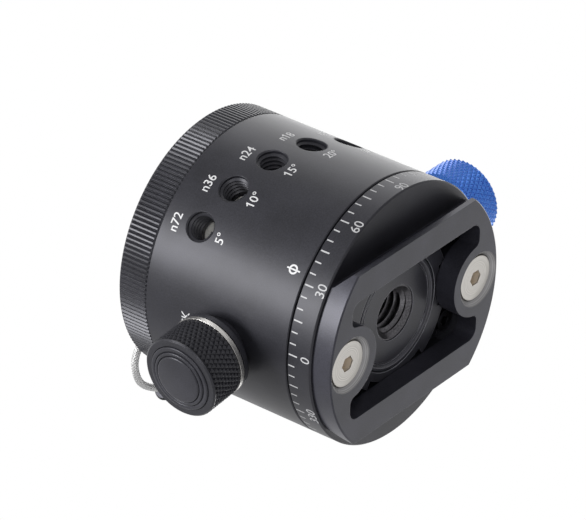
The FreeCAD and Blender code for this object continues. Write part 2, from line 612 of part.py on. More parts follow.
# ================================================================ head
def port_tool():
    """One threaded port, along +Z from inside the bore to past the body's outside."""
    mouth = BODY_RADIUS - PORT_MOUTH
    reach = BODY_RADIUS + CUT
    return turned([(0, BODY_BORE_RADIUS - CUT), (PORT_RADIUS, BODY_BORE_RADIUS - CUT),
                   (PORT_RADIUS, mouth), (PORT_RADIUS + PORT_MOUTH + CUT, reach), (0, reach)])


def flange_screw_places():
    step = 360.0 / FLANGE_SCREW_COUNT
    return [polar(FLANGE_SCREW_RING, FLANGE_SCREW_ANGLE + k * step) for k in range(FLANGE_SCREW_COUNT)]


def body_shell():
    ledge_radius = DRUM_FLANGE_RADIUS + SIDE_GAP
    shell = turned([
        (BODY_BORE_RADIUS, LEDGE_Z), (ledge_radius, LEDGE_Z), (ledge_radius, SHELL_Z),
        (BODY_RADIUS - BODY_EDGE, SHELL_Z), (BODY_RADIUS, SHELL_Z + BODY_EDGE),
        (BODY_RADIUS, FLANGE_Z - BODY_EDGE), (BODY_RADIUS - BODY_EDGE, FLANGE_Z),
        (BODY_BORE_RADIUS, FLANGE_Z)])
    ports = [radial(port_tool(), angle, height) for _, angle, height in PORTS]
    shell = shell.cut(Part.makeCompound(ports))
    spotface = cylinder(LOCK_NECK_RADIUS + FIT, LOCK_COLLAR_SEAT, BODY_RADIUS + CUT)
    spigot = cylinder(LOCK_SPIGOT_RADIUS + FIT, LOCK_COLLAR_SEAT - LOCK_SPIGOT_DEPTH, LOCK_COLLAR_SEAT + CUT)
    pad_way = cylinder(LOCK_SCREW_RADIUS + RUN, BODY_BORE_RADIUS - CUT, LOCK_COLLAR_SEAT)
    for tool in (spotface, spigot, pad_way):
        shell = shell.cut(radial(tool, LOCK_ANGLE, LOCK_Z))
    low = FLANGE_Z - FLANGE_SCREW_REACH - SCREW_TIP_GAP
    holes = [cylinder(M3_RADIUS, low, FLANGE_Z + CUT, x, y) for x, y in flange_screw_places()]
    return shell.cut(Part.makeCompound(holes))


def top_flange():
    groove_z = BEARING_Z - CIRCLIP_THICKNESS - FIT
    flange = turned([
        (BEARING_OUTER_RADIUS, BOSS_Z), (BOSS_RADIUS, BOSS_Z),
        (BOSS_RADIUS, SPIGOT_Z), (BODY_BORE_RADIUS - FIT, SPIGOT_Z),
        (BODY_BORE_RADIUS - FIT, FLANGE_Z), (BODY_RADIUS - FLANGE_EDGE, FLANGE_Z),
        (BODY_RADIUS, FLANGE_Z + FLANGE_EDGE), (BODY_RADIUS, FLANGE_TOP_Z - FLANGE_EDGE),
        (BODY_RADIUS - FLANGE_EDGE, FLANGE_TOP_Z), (FLANGE_WELL_RADIUS, FLANGE_TOP_Z),
        (FLANGE_WELL_RADIUS, BEARING_TOP_Z), (BEARING_OUTER_RADIUS, BEARING_TOP_Z),
        (BEARING_OUTER_RADIUS, BEARING_Z), (BEARING_OUTER_RADIUS + CIRCLIP_GROOVE, BEARING_Z),
        (BEARING_OUTER_RADIUS + CIRCLIP_GROOVE, groove_z), (BEARING_OUTER_RADIUS, groove_z)])
    holes = []
    for x, y in flange_screw_places():
        holes.append(cylinder(M3_RADIUS + RUN, 0, FLANGE_TOP_Z + CUT, x, y))
        holes.append(cylinder(M3_HEAD_RADIUS + COUNTERBORE_GAP, FLANGE_TOP_Z - M3_HEAD_HEIGHT - SCREW_TIP_GAP,
                              FLANGE_TOP_Z + CUT, x, y))
    for hole in holes:
        flange = flange.cut(hole)
    low = PLATE_TOP_Z - PLATE_SCREW_LENGTH - SCREW_TIP_GAP
    for x, y in plate_screw_places():
        flange = flange.cut(cylinder(M3_RADIUS, low, FLANGE_TOP_Z + CUT, x, y))
    x, y = clamp_screw_place()
    low = FLANGE_TOP_Z - CLAMP_SCREW_DEPTH - SCREW_TIP_GAP
    return flange.cut(cylinder(CLAMP_SCREW_RADIUS, low, FLANGE_TOP_Z + CUT, x, y))


def flange_screws():
    seat = FLANGE_TOP_Z - M3_HEAD_HEIGHT - SCREW_TIP_GAP
    screws = []
    for x, y in flange_screw_places():
        screw = cylinder(M3_HEAD_RADIUS, seat, seat + M3_HEAD_HEIGHT, x, y)
        screw = screw.fuse(cylinder(M3_RADIUS - FIT, FLANGE_Z - FLANGE_SCREW_REACH, seat, x, y))
        screw = screw.cut(hexagon(M3_KEY, seat + M3_HEAD_HEIGHT / 2, seat + M3_HEAD_HEIGHT + CUT, x, y))
        screws.append(screw)
    return Part.makeCompound(screws)


def plate_screw_places():
    return [polar(PLATE_SCREW_RING, 360.0 * k / PLATE_SCREW_COUNT) for k in range(PLATE_SCREW_COUNT)]


def plate_screw_profile(gap):
    """Countersunk M3 outline below the plate's top face, grown by a gap for its hole."""
    head = PLATE_SCREW_HEAD_RADIUS + gap
    shank = M3_RADIUS - FIT + gap
    return [(0, 0), (head, 0), (shank, shank - head), (shank, -PLATE_SCREW_LENGTH), (0, -PLATE_SCREW_LENGTH)]


def camera_plate():
    plate = tube(PLATE_RADIUS, STUD_SEAT_RADIUS + FIT, FLANGE_TOP_Z, PLATE_TOP_Z)
    for x, y in plate_screw_places():
        hole = turned(plate_screw_profile(FIT))
        hole.translate(VEC(x, y, PLATE_TOP_Z))
        plate = plate.cut(hole)
    return plate


def plate_screws():
    screws = []
    for x, y in plate_screw_places():
        screw = turned(plate_screw_profile(0)).cut(hexagon(PLATE_SCREW_KEY, -M3_RADIUS, CUT))
        screw.translate(VEC(x, y, PLATE_TOP_Z))
        screws.append(screw)
    return Part.makeCompound(screws)


def camera_pad():
    return tube(PLATE_RADIUS - PAD_RIM, PAD_BORE_RADIUS, PLATE_TOP_Z, PAD_TOP_Z)


def camera_stud():
    top = PAD_TOP_Z + STUD_HEIGHT
    stud = turned([(0, FLANGE_TOP_Z), (STUD_SEAT_RADIUS, FLANGE_TOP_Z), (STUD_SEAT_RADIUS, PLATE_TOP_Z),
                   (STUD_RADIUS, PLATE_TOP_Z), (STUD_RADIUS, top - STUD_TIP),
                   (STUD_RADIUS - STUD_TIP, top), (0, top)])
    slot = Part.makeBox(4 * STUD_RADIUS, STUD_SLOT, STUD_SLOT + CUT,
                        VEC(-2 * STUD_RADIUS, -STUD_SLOT / 2, top - STUD_SLOT))
    return stud.cut(slot)


# ================================================================ tether
def sleeve_point(distance):
    dx, dy = polar(distance, SLEEVE_ANGLE)
    return VEC(SLEEVE_X + dx, SLEEVE_Y + dy, tether_z())


def tether_z():
    return FLANGE_TOP_Z + TETHER_RADIUS + TETHER_LIFT


def tether_points():
    route = [VEC(x, y, tether_z()) for x, y in TETHER_OUTER_ROUTE + TETHER_INNER_ROUTE]
    start = [sleeve_point(-TETHER_END_GAP), sleeve_point(-TETHER_LEFT_REACH)]
    end = [sleeve_point(TETHER_RIGHT_REACH), sleeve_point(TETHER_END_GAP)]
    return start + route + end


def rounded_path(points):
    """Straight runs joined by tangent arcs, each as large as its shorter run allows."""
    edges = []
    start = points[0]
    for before, corner, after in zip(points, points[1:], points[2:]):
        run_in = corner.sub(before)
        run_out = after.sub(corner)
        turn = run_in.getAngle(run_out)
        trim = 0.45 * min(run_in.Length, run_out.Length)
        radius = trim / math.tan(turn / 2)
        arc_start = corner.sub(VEC(run_in).normalize().multiply(trim))
        arc_end = corner.add(VEC(run_out).normalize().multiply(trim))
        toward = VEC(run_out).normalize().sub(VEC(run_in).normalize()).normalize()
        middle = corner.add(VEC(toward).multiply(radius / math.cos(turn / 2) - radius))
        print("tether bend radius %.2f mm" % radius)
        edges.append(Part.LineSegment(start, arc_start).toShape())
        edges.append(Part.Arc(arc_start, middle, arc_end).toShape())
        start = arc_end
    edges.append(Part.LineSegment(start, points[-1]).toShape())
    return Part.Wire(edges)


def swept(path, radius):
    start = path.Edges[0].valueAt(path.Edges[0].FirstParameter)
    along = path.Edges[0].tangentAt(path.Edges[0].FirstParameter)
    section = Part.Wire(Part.makeCircle(radius, start, along))
    return path.makePipeShell([section], True, False)


def tether_cable():
    return swept(rounded_path(tether_points()), TETHER_RADIUS)


def tether_sleeve():
    half, edge = SLEEVE_HALF_LENGTH, SLEEVE_EDGE
    bore = TETHER_RADIUS + TETHER_FIT
    sleeve = turned([(bore, -half), (SLEEVE_RADIUS - edge, -half), (SLEEVE_RADIUS, edge - half),
                     (SLEEVE_RADIUS, half - edge), (SLEEVE_RADIUS - edge, half), (bore, half)])
    sleeve.rotate(ORIGIN, VEC(0, 1, 0), 90)
    sleeve.rotate(ORIGIN, UP, SLEEVE_ANGLE)
    sleeve.translate(sleeve_point(0))
    return sleeve


def clamp_frame():
    """Middle of the clamped run, its direction, and the outward direction across it."""
    first, second = [VEC(x, y, tether_z()) for x, y in TETHER_INNER_ROUTE[:2]]
    middle = first.add(second).multiply(0.5)
    along = second.sub(first).normalize()
    across = UP.cross(along)
    return middle, along, across


def clamp_screw_place():
    middle, _, across = clamp_frame()
    place = middle.add(VEC(across).multiply(CLAMP_SCREW_OFFSET))
    return place.x, place.y


def tether_clamp():
    middle, along, across = clamp_frame()
    base = VEC(middle.x, middle.y, FLANGE_TOP_Z)
    corners = []
    for run, reach in ((-1, -CLAMP_INNER_REACH), (1, -CLAMP_INNER_REACH),
                       (1, CLAMP_OUTER_REACH), (-1, CLAMP_OUTER_REACH)):
        shift = VEC(along).multiply(run * CLAMP_WIDTH / 2).add(VEC(across).multiply(reach))
        corners.append(base.add(shift))
    block = Part.Face(Part.makePolygon(corners + [corners[0]])).extrude(VEC(0, 0, CLAMP_HEIGHT))
    groove = Part.makeCylinder(TETHER_RADIUS + TETHER_FIT, 2 * CLAMP_WIDTH,
                               middle.sub(VEC(along).multiply(CLAMP_WIDTH)), along)
    x, y = clamp_screw_place()
    hole = cylinder(CLAMP_SCREW_RADIUS + RUN, 0, FLANGE_TOP_Z + CLAMP_HEIGHT + CUT, x, y)
    return block.cut(groove).cut(hole)


def tether_screw():
    x, y = clamp_screw_place()
    seat = FLANGE_TOP_Z + CLAMP_HEIGHT
    screw = cylinder(CLAMP_SCREW_HEAD_RADIUS, seat, seat + CLAMP_SCREW_HEAD_HEIGHT, x, y)
    return screw.fuse(cylinder(CLAMP_SCREW_RADIUS - FIT, FLANGE_TOP_Z - CLAMP_SCREW_DEPTH, seat, x, y))


# ================================================================ lock
def lock_collar():
    spigot_face = LOCK_COLLAR_SEAT - LOCK_SPIGOT_DEPTH
    bore = LOCK_SCREW_RADIUS + RUN
    collar = turned([
        (bore, spigot_face), (LOCK_SPIGOT_RADIUS, spigot_face), (LOCK_SPIGOT_RADIUS, LOCK_COLLAR_SEAT),
        (LOCK_NECK_RADIUS, LOCK_COLLAR_SEAT), (LOCK_NECK_RADIUS, LOCK_COLLAR_TOP - LOCK_COLLAR_LIP),
        (LOCK_COLLAR_RADIUS, LOCK_COLLAR_TOP - LOCK_COLLAR_LIP), (LOCK_COLLAR_RADIUS, LOCK_COLLAR_TOP),
        (bore, LOCK_COLLAR_TOP)])
    return radial(collar, LOCK_ANGLE, LOCK_Z)


def lock_pad():
    pad = cylinder(LOCK_SCREW_RADIUS - FIT, LOCK_PAD_FACE, LOCK_PAD_FACE + LOCK_PAD_LENGTH)
    return radial(pad, LOCK_ANGLE, LOCK_Z)


def lock_stud():
    end = LOCK_KNOB_END - LOCK_CAP_SEAT - LOCK_STUD_END_GAP
    return radial(cylinder(LOCK_SCREW_RADIUS - FIT, LOCK_STUD_FACE, end), LOCK_ANGLE, LOCK_Z)


def lock_ring():
    ring = tube(LOCK_RING_RADIUS, LOCK_SCREW_RADIUS + FIT, LOCK_RING_FACE, LOCK_KNOB_FACE)
    return radial(ring, LOCK_ANGLE, LOCK_Z)


def lock_knob():
    bore = LOCK_SCREW_RADIUS
    bore_end = LOCK_KNOB_END - LOCK_CAP_SEAT
    knob = turned([
        (bore, LOCK_KNOB_FACE), (LOCK_KNOB_RADIUS - LOCK_KNOB_EDGE, LOCK_KNOB_FACE),
        (LOCK_KNOB_RADIUS, LOCK_KNOB_FACE + LOCK_KNOB_EDGE),
        (LOCK_KNOB_RADIUS, LOCK_KNOB_END - LOCK_KNOB_EDGE),
        (LOCK_KNOB_RADIUS - LOCK_KNOB_EDGE, LOCK_KNOB_END), (LOCK_CAP_RADIUS + FIT, LOCK_KNOB_END),
        (LOCK_CAP_RADIUS + FIT, bore_end), (bore, bore_end)])
    return radial(knob, LOCK_ANGLE, LOCK_Z)


def lock_cap():
    low = LOCK_KNOB_END - LOCK_CAP_SEAT
    ring_z = LOCK_KNOB_END + LOCK_CAP_STEP
    crown_z = ring_z + LOCK_CAP_CROWN
    groove_outer = LOCK_CAP_MIDDLE_RADIUS + LOCK_GROOVE_WIDTH
    cap = turned([
        (0, low), (LOCK_CAP_RADIUS, low), (LOCK_CAP_RADIUS, LOCK_KNOB_END),
        (LOCK_CAP_RADIUS - LOCK_CAP_STEP, ring_z), (groove_outer, ring_z),
        (LOCK_CAP_MIDDLE_RADIUS, LOCK_KNOB_END), (LOCK_CAP_MIDDLE_RADIUS, ring_z),
        (LOCK_CAP_MIDDLE_RADIUS - LOCK_GROOVE_WIDTH, crown_z), (0, crown_z)])
    return radial(cap, LOCK_ANGLE, LOCK_Z)


# ================================================================ index plunger
def at_index_port(shape):
    angle, height = next((angle, height) for stops, angle, height in PORTS if stops == PLUNGER_STOP_COUNT)
    return radial(shape, angle, height)


def index_barrel():
    thread = PORT_RADIUS - RUN
    guide = INDEX_PIN_RADIUS + RUN
    chamber_z = INDEX_NOSE + INDEX_NOSE_WALL
    barrel = turned([
        (guide, INDEX_NOSE), (thread, INDEX_NOSE), (thread, INDEX_BARREL_SEAT),
        (INDEX_BARREL_RADIUS, INDEX_BARREL_SEAT), (INDEX_BARREL_RADIUS, INDEX_BARREL_END),
        (INDEX_CHAMBER_RADIUS, INDEX_BARREL_END), (INDEX_CHAMBER_RADIUS, chamber_z), (guide, chamber_z)])
    for side in (1, -1):
        flat = Part.makeBox(2 * INDEX_BARREL_RADIUS, 2 * INDEX_BARREL_RADIUS, INDEX_FLATS_HEIGHT,
                            VEC(-INDEX_BARREL_RADIUS,
                                side * (INDEX_BARREL_FLATS / 2 + INDEX_BARREL_RADIUS) - INDEX_BARREL_RADIUS,
                                INDEX_BARREL_SEAT))
        barrel = barrel.cut(flat)
    return at_index_port(barrel)


def index_bush():
    return at_index_port(tube(INDEX_CHAMBER_RADIUS - FIT, INDEX_ROD_RADIUS + RUN,
                              INDEX_BUSH_FACE, INDEX_BARREL_END))


def index_pin():
    cone_end = INDEX_TIP + INDEX_PIN_RADIUS - INDEX_TIP_FLAT
    shoulder_end = INDEX_SHOULDER + INDEX_SHOULDER_HEIGHT
    pin = turned([
        (0, INDEX_TIP), (INDEX_TIP_FLAT, INDEX_TIP), (INDEX_PIN_RADIUS, cone_end),
        (INDEX_PIN_RADIUS, INDEX_SHOULDER), (INDEX_SHOULDER_RADIUS, INDEX_SHOULDER),
        (INDEX_SHOULDER_RADIUS, shoulder_end), (INDEX_ROD_RADIUS, shoulder_end),
        (INDEX_ROD_RADIUS, INDEX_ROD_END), (0, INDEX_ROD_END)])
    return at_index_port(pin)


def index_spring():
    low = INDEX_SHOULDER + INDEX_SHOULDER_HEIGHT + SPRING_WIRE_RADIUS + SPRING_END_GAP
    high = INDEX_BUSH_FACE - SPRING_WIRE_RADIUS - SPRING_END_GAP
    helix = Part.makeHelix((high - low) / SPRING_TURNS, high - low, SPRING_RADIUS)
    helix.translate(VEC(0, 0, low))
    edge = helix.Edges[0]
    start = edge.valueAt(edge.FirstParameter)
    section = Part.Wire(Part.makeCircle(SPRING_WIRE_RADIUS, start, edge.tangentAt(edge.FirstParameter)))
    coil = Part.Wire(helix.Edges).makePipeShell([section], True, True)
    return at_index_port(coil)


def index_knob():
    hollow_end = INDEX_KNOB_FACE + INDEX_KNOB_HOLLOW_DEPTH
    bore = INDEX_ROD_RADIUS + FIT
    knob = turned([
        (bore, hollow_end), (INDEX_KNOB_HOLLOW_RADIUS, hollow_end),
        (INDEX_KNOB_HOLLOW_RADIUS, INDEX_KNOB_FACE),
        (INDEX_KNOB_RADIUS - INDEX_KNOB_INNER_EDGE, INDEX_KNOB_FACE),
        (INDEX_KNOB_RADIUS, INDEX_KNOB_FACE + INDEX_KNOB_INNER_EDGE),
        (INDEX_KNOB_RADIUS, INDEX_KNOB_END - INDEX_KNOB_OUTER_EDGE),
        (INDEX_KNOB_RADIUS - INDEX_KNOB_OUTER_EDGE, INDEX_KNOB_END),
        (INDEX_CAP_RADIUS + FIT, INDEX_KNOB_END), (INDEX_CAP_RADIUS + FIT, INDEX_CAP_FACE),
        (bore, INDEX_CAP_FACE)])
    return at_index_port(knob)


def index_cap():
    return at_index_port(cylinder(INDEX_CAP_RADIUS, INDEX_CAP_FACE, INDEX_KNOB_END))


# ================================================================ export
PIECES = [
    foot_plate, foot_screws, dial_ring, base_screws, spindle, socket_bush, hub_ring_nut,
    index_drum, drum_dowels, thrust_washer, bearing_inner_race, preload_washer, spindle_nut,
    bearing_balls, bearing_cage,
    body_shell, top_flange, flange_screws, bearing_outer_race, bearing_circlip,
    camera_plate, plate_screws, camera_pad, camera_stud,
    tether_cable, tether_sleeve, tether_clamp, tether_screw,
    lock_collar, lock_pad, lock_stud, lock_ring, lock_knob, lock_cap,
    index_barrel, index_bush, index_pin, index_spring, index_knob, index_cap,
]


def main():
    os.makedirs("parts", exist_ok=True)
    for piece in PIECES:
        shape = piece()
        bad = [solid for solid in shape.Solids if not solid.isValid() or solid.Volume <= 0]
        print("%-20s solids %2d  volume %10.2f%s" % (
            piece.__name__, len(shape.Solids), shape.Volume, "  INVALID" if bad or not shape.Solids else ""))
        shape.exportStep(os.path.join("parts", piece.__name__ + ".step"))


main()
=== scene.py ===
# Panoramic tripod head: an indexing rotator between a tripod and a camera.
#
# The foot plate, dial ring, hub and index drum stand still. The body with its knurled
# flange, camera plate, lock knob and blue index plunger turns above them.
# +Z is the pan axis and runs up to the camera stud; angles are about it, from +X.
import math

import bmesh
import bpy
from mathutils import Matrix, Vector


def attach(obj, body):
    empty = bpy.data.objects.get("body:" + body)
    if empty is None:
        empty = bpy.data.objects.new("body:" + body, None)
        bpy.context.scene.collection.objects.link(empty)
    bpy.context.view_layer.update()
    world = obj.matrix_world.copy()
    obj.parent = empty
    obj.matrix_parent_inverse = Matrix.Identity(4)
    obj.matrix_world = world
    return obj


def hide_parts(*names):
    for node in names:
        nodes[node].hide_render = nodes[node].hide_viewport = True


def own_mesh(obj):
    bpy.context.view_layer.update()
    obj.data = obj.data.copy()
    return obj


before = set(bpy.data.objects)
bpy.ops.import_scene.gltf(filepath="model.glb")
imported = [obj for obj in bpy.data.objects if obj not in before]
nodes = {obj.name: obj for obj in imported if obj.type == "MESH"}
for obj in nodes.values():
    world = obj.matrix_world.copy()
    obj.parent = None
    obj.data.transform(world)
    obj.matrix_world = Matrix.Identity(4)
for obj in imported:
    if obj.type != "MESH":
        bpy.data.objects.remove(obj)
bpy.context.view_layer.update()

# ---------------------------------------------------------------- sizes, in millimetres
MM = 0.001
CUT = 1.0             # how far a cutting tool reaches past the face that it opens
BODY_RADIUS = 27.5
# The flange: its well, the seat of the bearing, the boss round that seat, and the spigot.
FLANGE_WELL_RADIUS, RACE_SEAT_RADIUS, BOSS_RADIUS, SPIGOT_RADIUS = 13.0, 15.0, 17.0, 20.47
BOSS_LOW, SPIGOT_LOW, FLANGE_LOW, RACE_SEAT_TOP, FLANGE_TOP = 39.07, 42.0, 45.4, 48.1, 52.3
FLANGE_SCREW_RING, FLANGE_SCREW_ANGLES = 23.75, (75, 165, 255, 345)
COUNTERBORE_RADIUS, COUNTERBORE_DEPTH = 2.9, 3.3
PLATE_TOP, PAD_TOP = 54.4, 55.2
PAD_RADIUS, PAD_BORE_RADIUS = 20.5, 7.0
# Index ports: stops per turn, degrees per stop, angle round the body, height of the axis.
PORTS = [(72, 5, 218.8, 36.7), (36, 10, 238.8, 34.25), (24, 15, 258.6, 31.8),
         (18, 20, 278.2, 29.35), (15, 24, 298.8, 27.4), (12, 30, 319.5, 25.45),
         (10, 36, 340.0, 23.5), (8, 45, 0.4, 21.55), (6, 60, 20.8, 19.6), (4, 90, 41.2, 17.65)]
PLUNGER_STOPS = 8     # the blue plunger sits in the port that has this many stops
PLUNGER_ANGLE, PLUNGER_Z = next((angle, z) for stops, _, angle, z in PORTS if stops == PLUNGER_STOPS)
# Along the plunger's and the lock's own axes, lengths are from the pan axis outward.
INDEX_KNOB_RADIUS, INDEX_KNOB_LOW, INDEX_KNOB_HIGH = 8.5, 36.8, 45.1
LOCK_ANGLE, LOCK_Z = 174.0, 26.3
LOCK_KNOB_RADIUS, LOCK_KNOB_LOW, LOCK_CAP_SEAT, LOCK_KNOB_HIGH = 8.65, 32.15, 38.35, 40.25
POINT_DEPTH = 0.34    # of the knobs' diamond knurl
DIAL_ZERO = 184.1
INCH_PITCH = 1.5875   # of the 3/8 inch thread in the socket and on the camera stud
STUD_HEIGHT = 9.3     # of the camera stud over its pad
RIDGE_ROOT, RIDGE_CREST = 0.86, 0.14     # widths of a socket thread's ridge, as shares of its pitch
MARK_DEPTH = 0.035    # half the thickness of printed and painted marks
TETHER_RADIUS, TETHER_LIFT = 0.8, 0.05     # the cable, and its gap over the flange
FOOT_SCREW_X, COUNTERSINK_RADIUS = 20.6, 5.9
LATHE_FEED = 0.22     # drawn coarser than a real lathe's marks, so that they show
SKIN_SHINE = 0.3      # anodise reflects less than a polished coat
# The camera's place in metres, its right-hand side, and the way from the head back to it.
CAMERA_PLACE = (-0.6264, -0.4826, -0.4551)
CAMERA_RIGHT, CAMERA_BACK = (0.6206, -0.0169, -0.7839), (-0.6759, -0.5184, -0.5239)
SENSOR_WIDTH, FOCAL_LENGTH = 36, 288.13


# ================================================================ camera
def place_camera():
    """A long lens that looks up at the foot plate and the row of index ports."""
    back = Vector(CAMERA_BACK).normalized()
    up = back.cross(Vector(CAMERA_RIGHT)).normalized()
    right = up.cross(back)
    lens = bpy.data.cameras.new("camera")
    lens.sensor_width = SENSOR_WIDTH
    lens.lens = FOCAL_LENGTH
    lens.clip_start, lens.clip_end = 0.05, 10
    camera = bpy.data.objects.new("camera", lens)
    bpy.context.scene.collection.objects.link(camera)
    turn = Matrix((right, up, back)).transposed().to_4x4()
    camera.matrix_world = Matrix.Translation(CAMERA_PLACE) @ turn
    bpy.context.scene.camera = camera


# ================================================================ work in edit mode
def drop_selection():
    bpy.ops.object.select_all(action="DESELECT")


def take(part):
    """Make the part the only one chosen."""
    drop_selection()
    part.select_set(True)
    bpy.context.view_layer.objects.active = part
    return part


def name_new(name):
    part = bpy.context.view_layer.objects.active
    part.name = part.data.name = name
    return take(part)


def settle(part):
    """Put the part's place, turn and size into its mesh."""
    take(part)
    bpy.ops.object.transform_apply(location=True, rotation=True, scale=True)
    return part


def block(name, size, place=(0, 0, 0), turn=0.0):
    """A box of this size in metres, turned about Z at its place."""
    drop_selection()
    bpy.ops.mesh.primitive_cube_add(size=1)
    part = name_new(name)
    part.scale, part.rotation_euler, part.location = size, (0, 0, turn), place
    return settle(part)


def press_in(part, radius, depth, chosen):
    """In edit mode, press the chosen corners of a turned side of this radius inward."""
    bpy.ops.mesh.select_mode(type="VERT")
    bpy.ops.mesh.select_all(action="DESELECT")
    mesh = bmesh.from_edit_mesh(part.data)
    for corner in mesh.verts:
        if math.hypot(corner.co.x, corner.co.y) > (radius - 0.05) * MM and chosen(corner):
            corner.select_set(True)
    mesh.select_flush_mode()
    bmesh.update_edit_mesh(part.data)
    shrink = (radius - depth) / radius
    bpy.ops.transform.resize(value=(shrink, shrink, 1), center_override=(0, 0, 0))


def finish_modifier(part, kind, **settings):
    """Add a modifier to the part with these settings and apply it."""
    take(part)
    modifier = part.modifiers.new(kind.lower(), kind)
    for name, value in settings.items():
        setattr(modifier, name, value)
    bpy.ops.object.modifier_apply(modifier=modifier.name)
    return part


def close_up(part):
    """Merge the part's doubled corners and turn its faces outward."""
    take(part)
    bpy.ops.object.mode_set(mode="EDIT")
    bpy.ops.mesh.select_all(action="SELECT")
    bpy.ops.mesh.remove_doubles(threshold=1e-6)
    bpy.ops.mesh.normals_make_consistent(inside=False)
    bpy.ops.object.mode_set(mode="OBJECT")
    return part


def smooth(part, degrees):
    """Shade the part smooth, but keep every edge sharper than this."""
    take(part)
    bpy.ops.object.shade_smooth_by_angle(angle=math.radians(degrees))
    return part


def drawn_line(name, corners):
    """A line of edges in the XZ plane through (radius, height) corners in millimetres."""
    drop_selection()
    bpy.ops.mesh.primitive_plane_add(size=MM)
    line = name_new(name)
    bpy.ops.object.mode_set(mode="EDIT")
    bpy.ops.mesh.select_mode(type="VERT")
    bpy.ops.mesh.select_all(action="SELECT")
    bpy.ops.mesh.merge(type="CENTER")
    bpy.ops.transform.translate(value=(corners[0][0] * MM, 0, corners[0][1] * MM))
    for before, corner in zip(corners, corners[1:]):
        step = ((corner[0] - before[0]) * MM, 0, (corner[1] - before[1]) * MM)
        bpy.ops.mesh.extrude_region_move(TRANSFORM_OT_translate={"value": step})
    bpy.ops.object.mode_set(mode="OBJECT")
    return line


def turned(name, corners, steps):
    """A closed solid turned about Z from (radius, height) corners."""
    part = drawn_line(name, corners + [corners[0]])
    bpy.ops.object.mode_set(mode="EDIT")
    bpy.ops.mesh.select_all(action="SELECT")
    bpy.ops.mesh.spin(steps=steps, angle=2 * math.pi, center=(0, 0, 0), axis=(0, 0, 1))
    bpy.ops.object.mode_set(mode="OBJECT")
    return close_up(part)


def lay_radially(part, angle, height):
    """Turn a part that was made along +Z outward along the radius, at this angle and height."""
    part.rotation_euler = (0, math.pi / 2, math.radians(angle))
    part.location = (0, 0, height * MM)
    return settle(part)


def cut_away(part, tools):
    """Cut the tools out of the part and throw them away."""
    for tool in tools:
        finish_modifier(part, "BOOLEAN", operation="DIFFERENCE", solver="EXACT", object=tool)
        bpy.data.objects.remove(tool)
    return part


def drill(radius, low, high, x, y):
    """A round cutting tool that stands along Z."""
    drop_selection()
    bpy.ops.mesh.primitive_cylinder_add(vertices=48, radius=radius * MM, depth=(high - low) * MM,
                                        location=(x * MM, y * MM, (low + high) / 2 * MM))
    return settle(name_new("drill"))


def join(name, parts):
    """Make the parts one piece."""
    drop_selection()
    for part in parts:
        part.select_set(True)
    bpy.context.view_layer.objects.active = parts[0]
    bpy.ops.object.join()
    return name_new(name)


def column(corner, count):
    """Which of so many equal columns about Z the corner stands in."""
    return round(math.atan2(corner.co.y, corner.co.x) / (2 * math.pi) * count) % count


# ================================================================ finishes
def colour(code):
    """An sRGB hex colour as linear red, green, blue and alpha."""
    parts = [int(code[k:k + 2], 16) / 255 for k in (1, 3, 5)]
    return tuple(p / 12.92 if p <= 0.04045 else ((p + 0.055) / 1.055) ** 2.4 for p in parts) + (1.0,)


def add(tree, kind, inputs=None, **settings):
    """A node with its settings, and its sockets set to a value or linked to another's output."""
    made = tree.nodes.new("ShaderNode" + kind)
    for name, value in settings.items():
        setattr(made, name, value)
    for socket, value in (inputs or {}).items():
        if isinstance(value, bpy.types.NodeSocket):
            tree.links.new(value, made.inputs[socket])
        else:
            made.inputs[socket].default_value = value
    return made


def new_finish(name):
    """An empty material: its tree, its shader, and the piece's own coordinates."""
    finish = bpy.data.materials.new(name)
    finish.use_nodes = True
    tree = finish.node_tree
    tree.nodes.clear()
    shader = add(tree, "BsdfPrincipled")
    output = add(tree, "OutputMaterial", {"Surface": shader.outputs[0]})
    output.location = (400, 0)
    return finish, tree, shader, add(tree, "TexCoord").outputs["Object"]


def anodised(name, dark, light, rough, metallic=0.3, grit=0.28, depth=0.006, edge=0.12, edge_highlight=None):
    """Aluminium, blasted or cut and then dyed: a fine even grain under a clear hard skin.

    A pale colour, where one is given, is painted on the edges as a painted highlight."""
    finish, tree, shader, place = new_finish(name)
    fine = add(tree, "TexNoise", {"Vector": place, "Scale": 1 / (grit * MM), "Detail": 2.0}).outputs["Fac"]
    cloud = add(tree, "TexNoise", {"Vector": place, "Scale": 1 / (9 * MM), "Detail": 3.0}).outputs["Fac"]
    shade = add(tree, "Math", {0: fine, 1: cloud}, operation="ADD").outputs[0]
    shade = add(tree, "MapRange", {"Value": shade, "From Min": 0.75, "From Max": 1.25}).outputs[0]
    tint = add(tree, "MixRGB", {"Fac": shade, "Color1": colour(dark), "Color2": colour(light)})
    gloss = add(tree, "MapRange", {"Value": fine, "To Min": rough - 0.05, "To Max": rough + 0.05})
    soft_edge = add(tree, "Bevel", {"Radius": edge * MM}, samples=4)
    skin = add(tree, "Bump", {"Height": fine, "Distance": depth * MM, "Normal": soft_edge.outputs[0]})
    if edge_highlight:
        flat = add(tree, "NewGeometry").outputs["Normal"]
        # The level falls from 1 where the softened edge turns away from its face; there the pale colour goes
        # on as a painted highlight.
        level = add(tree, "VectorMath", {0: soft_edge.outputs[0], 1: flat}, operation="DOT_PRODUCT")
        bare = add(tree, "MapRange", {"Value": level.outputs["Value"], "From Min": 0.995, "From Max": 0.82})
        tint = add(tree, "MixRGB", {"Fac": bare.outputs[0], "Color1": tint.outputs[0],
                                    "Color2": colour(edge_highlight)})
    tree.links.new(tint.outputs[0], shader.inputs["Base Color"])
    tree.links.new(gloss.outputs[0], shader.inputs["Roughness"])
    tree.links.new(skin.outputs[0], shader.inputs["Normal"])
    shader.inputs["Metallic"].default_value = metallic
    shader.inputs["Specular IOR Level"].default_value = SKIN_SHINE
    return finish


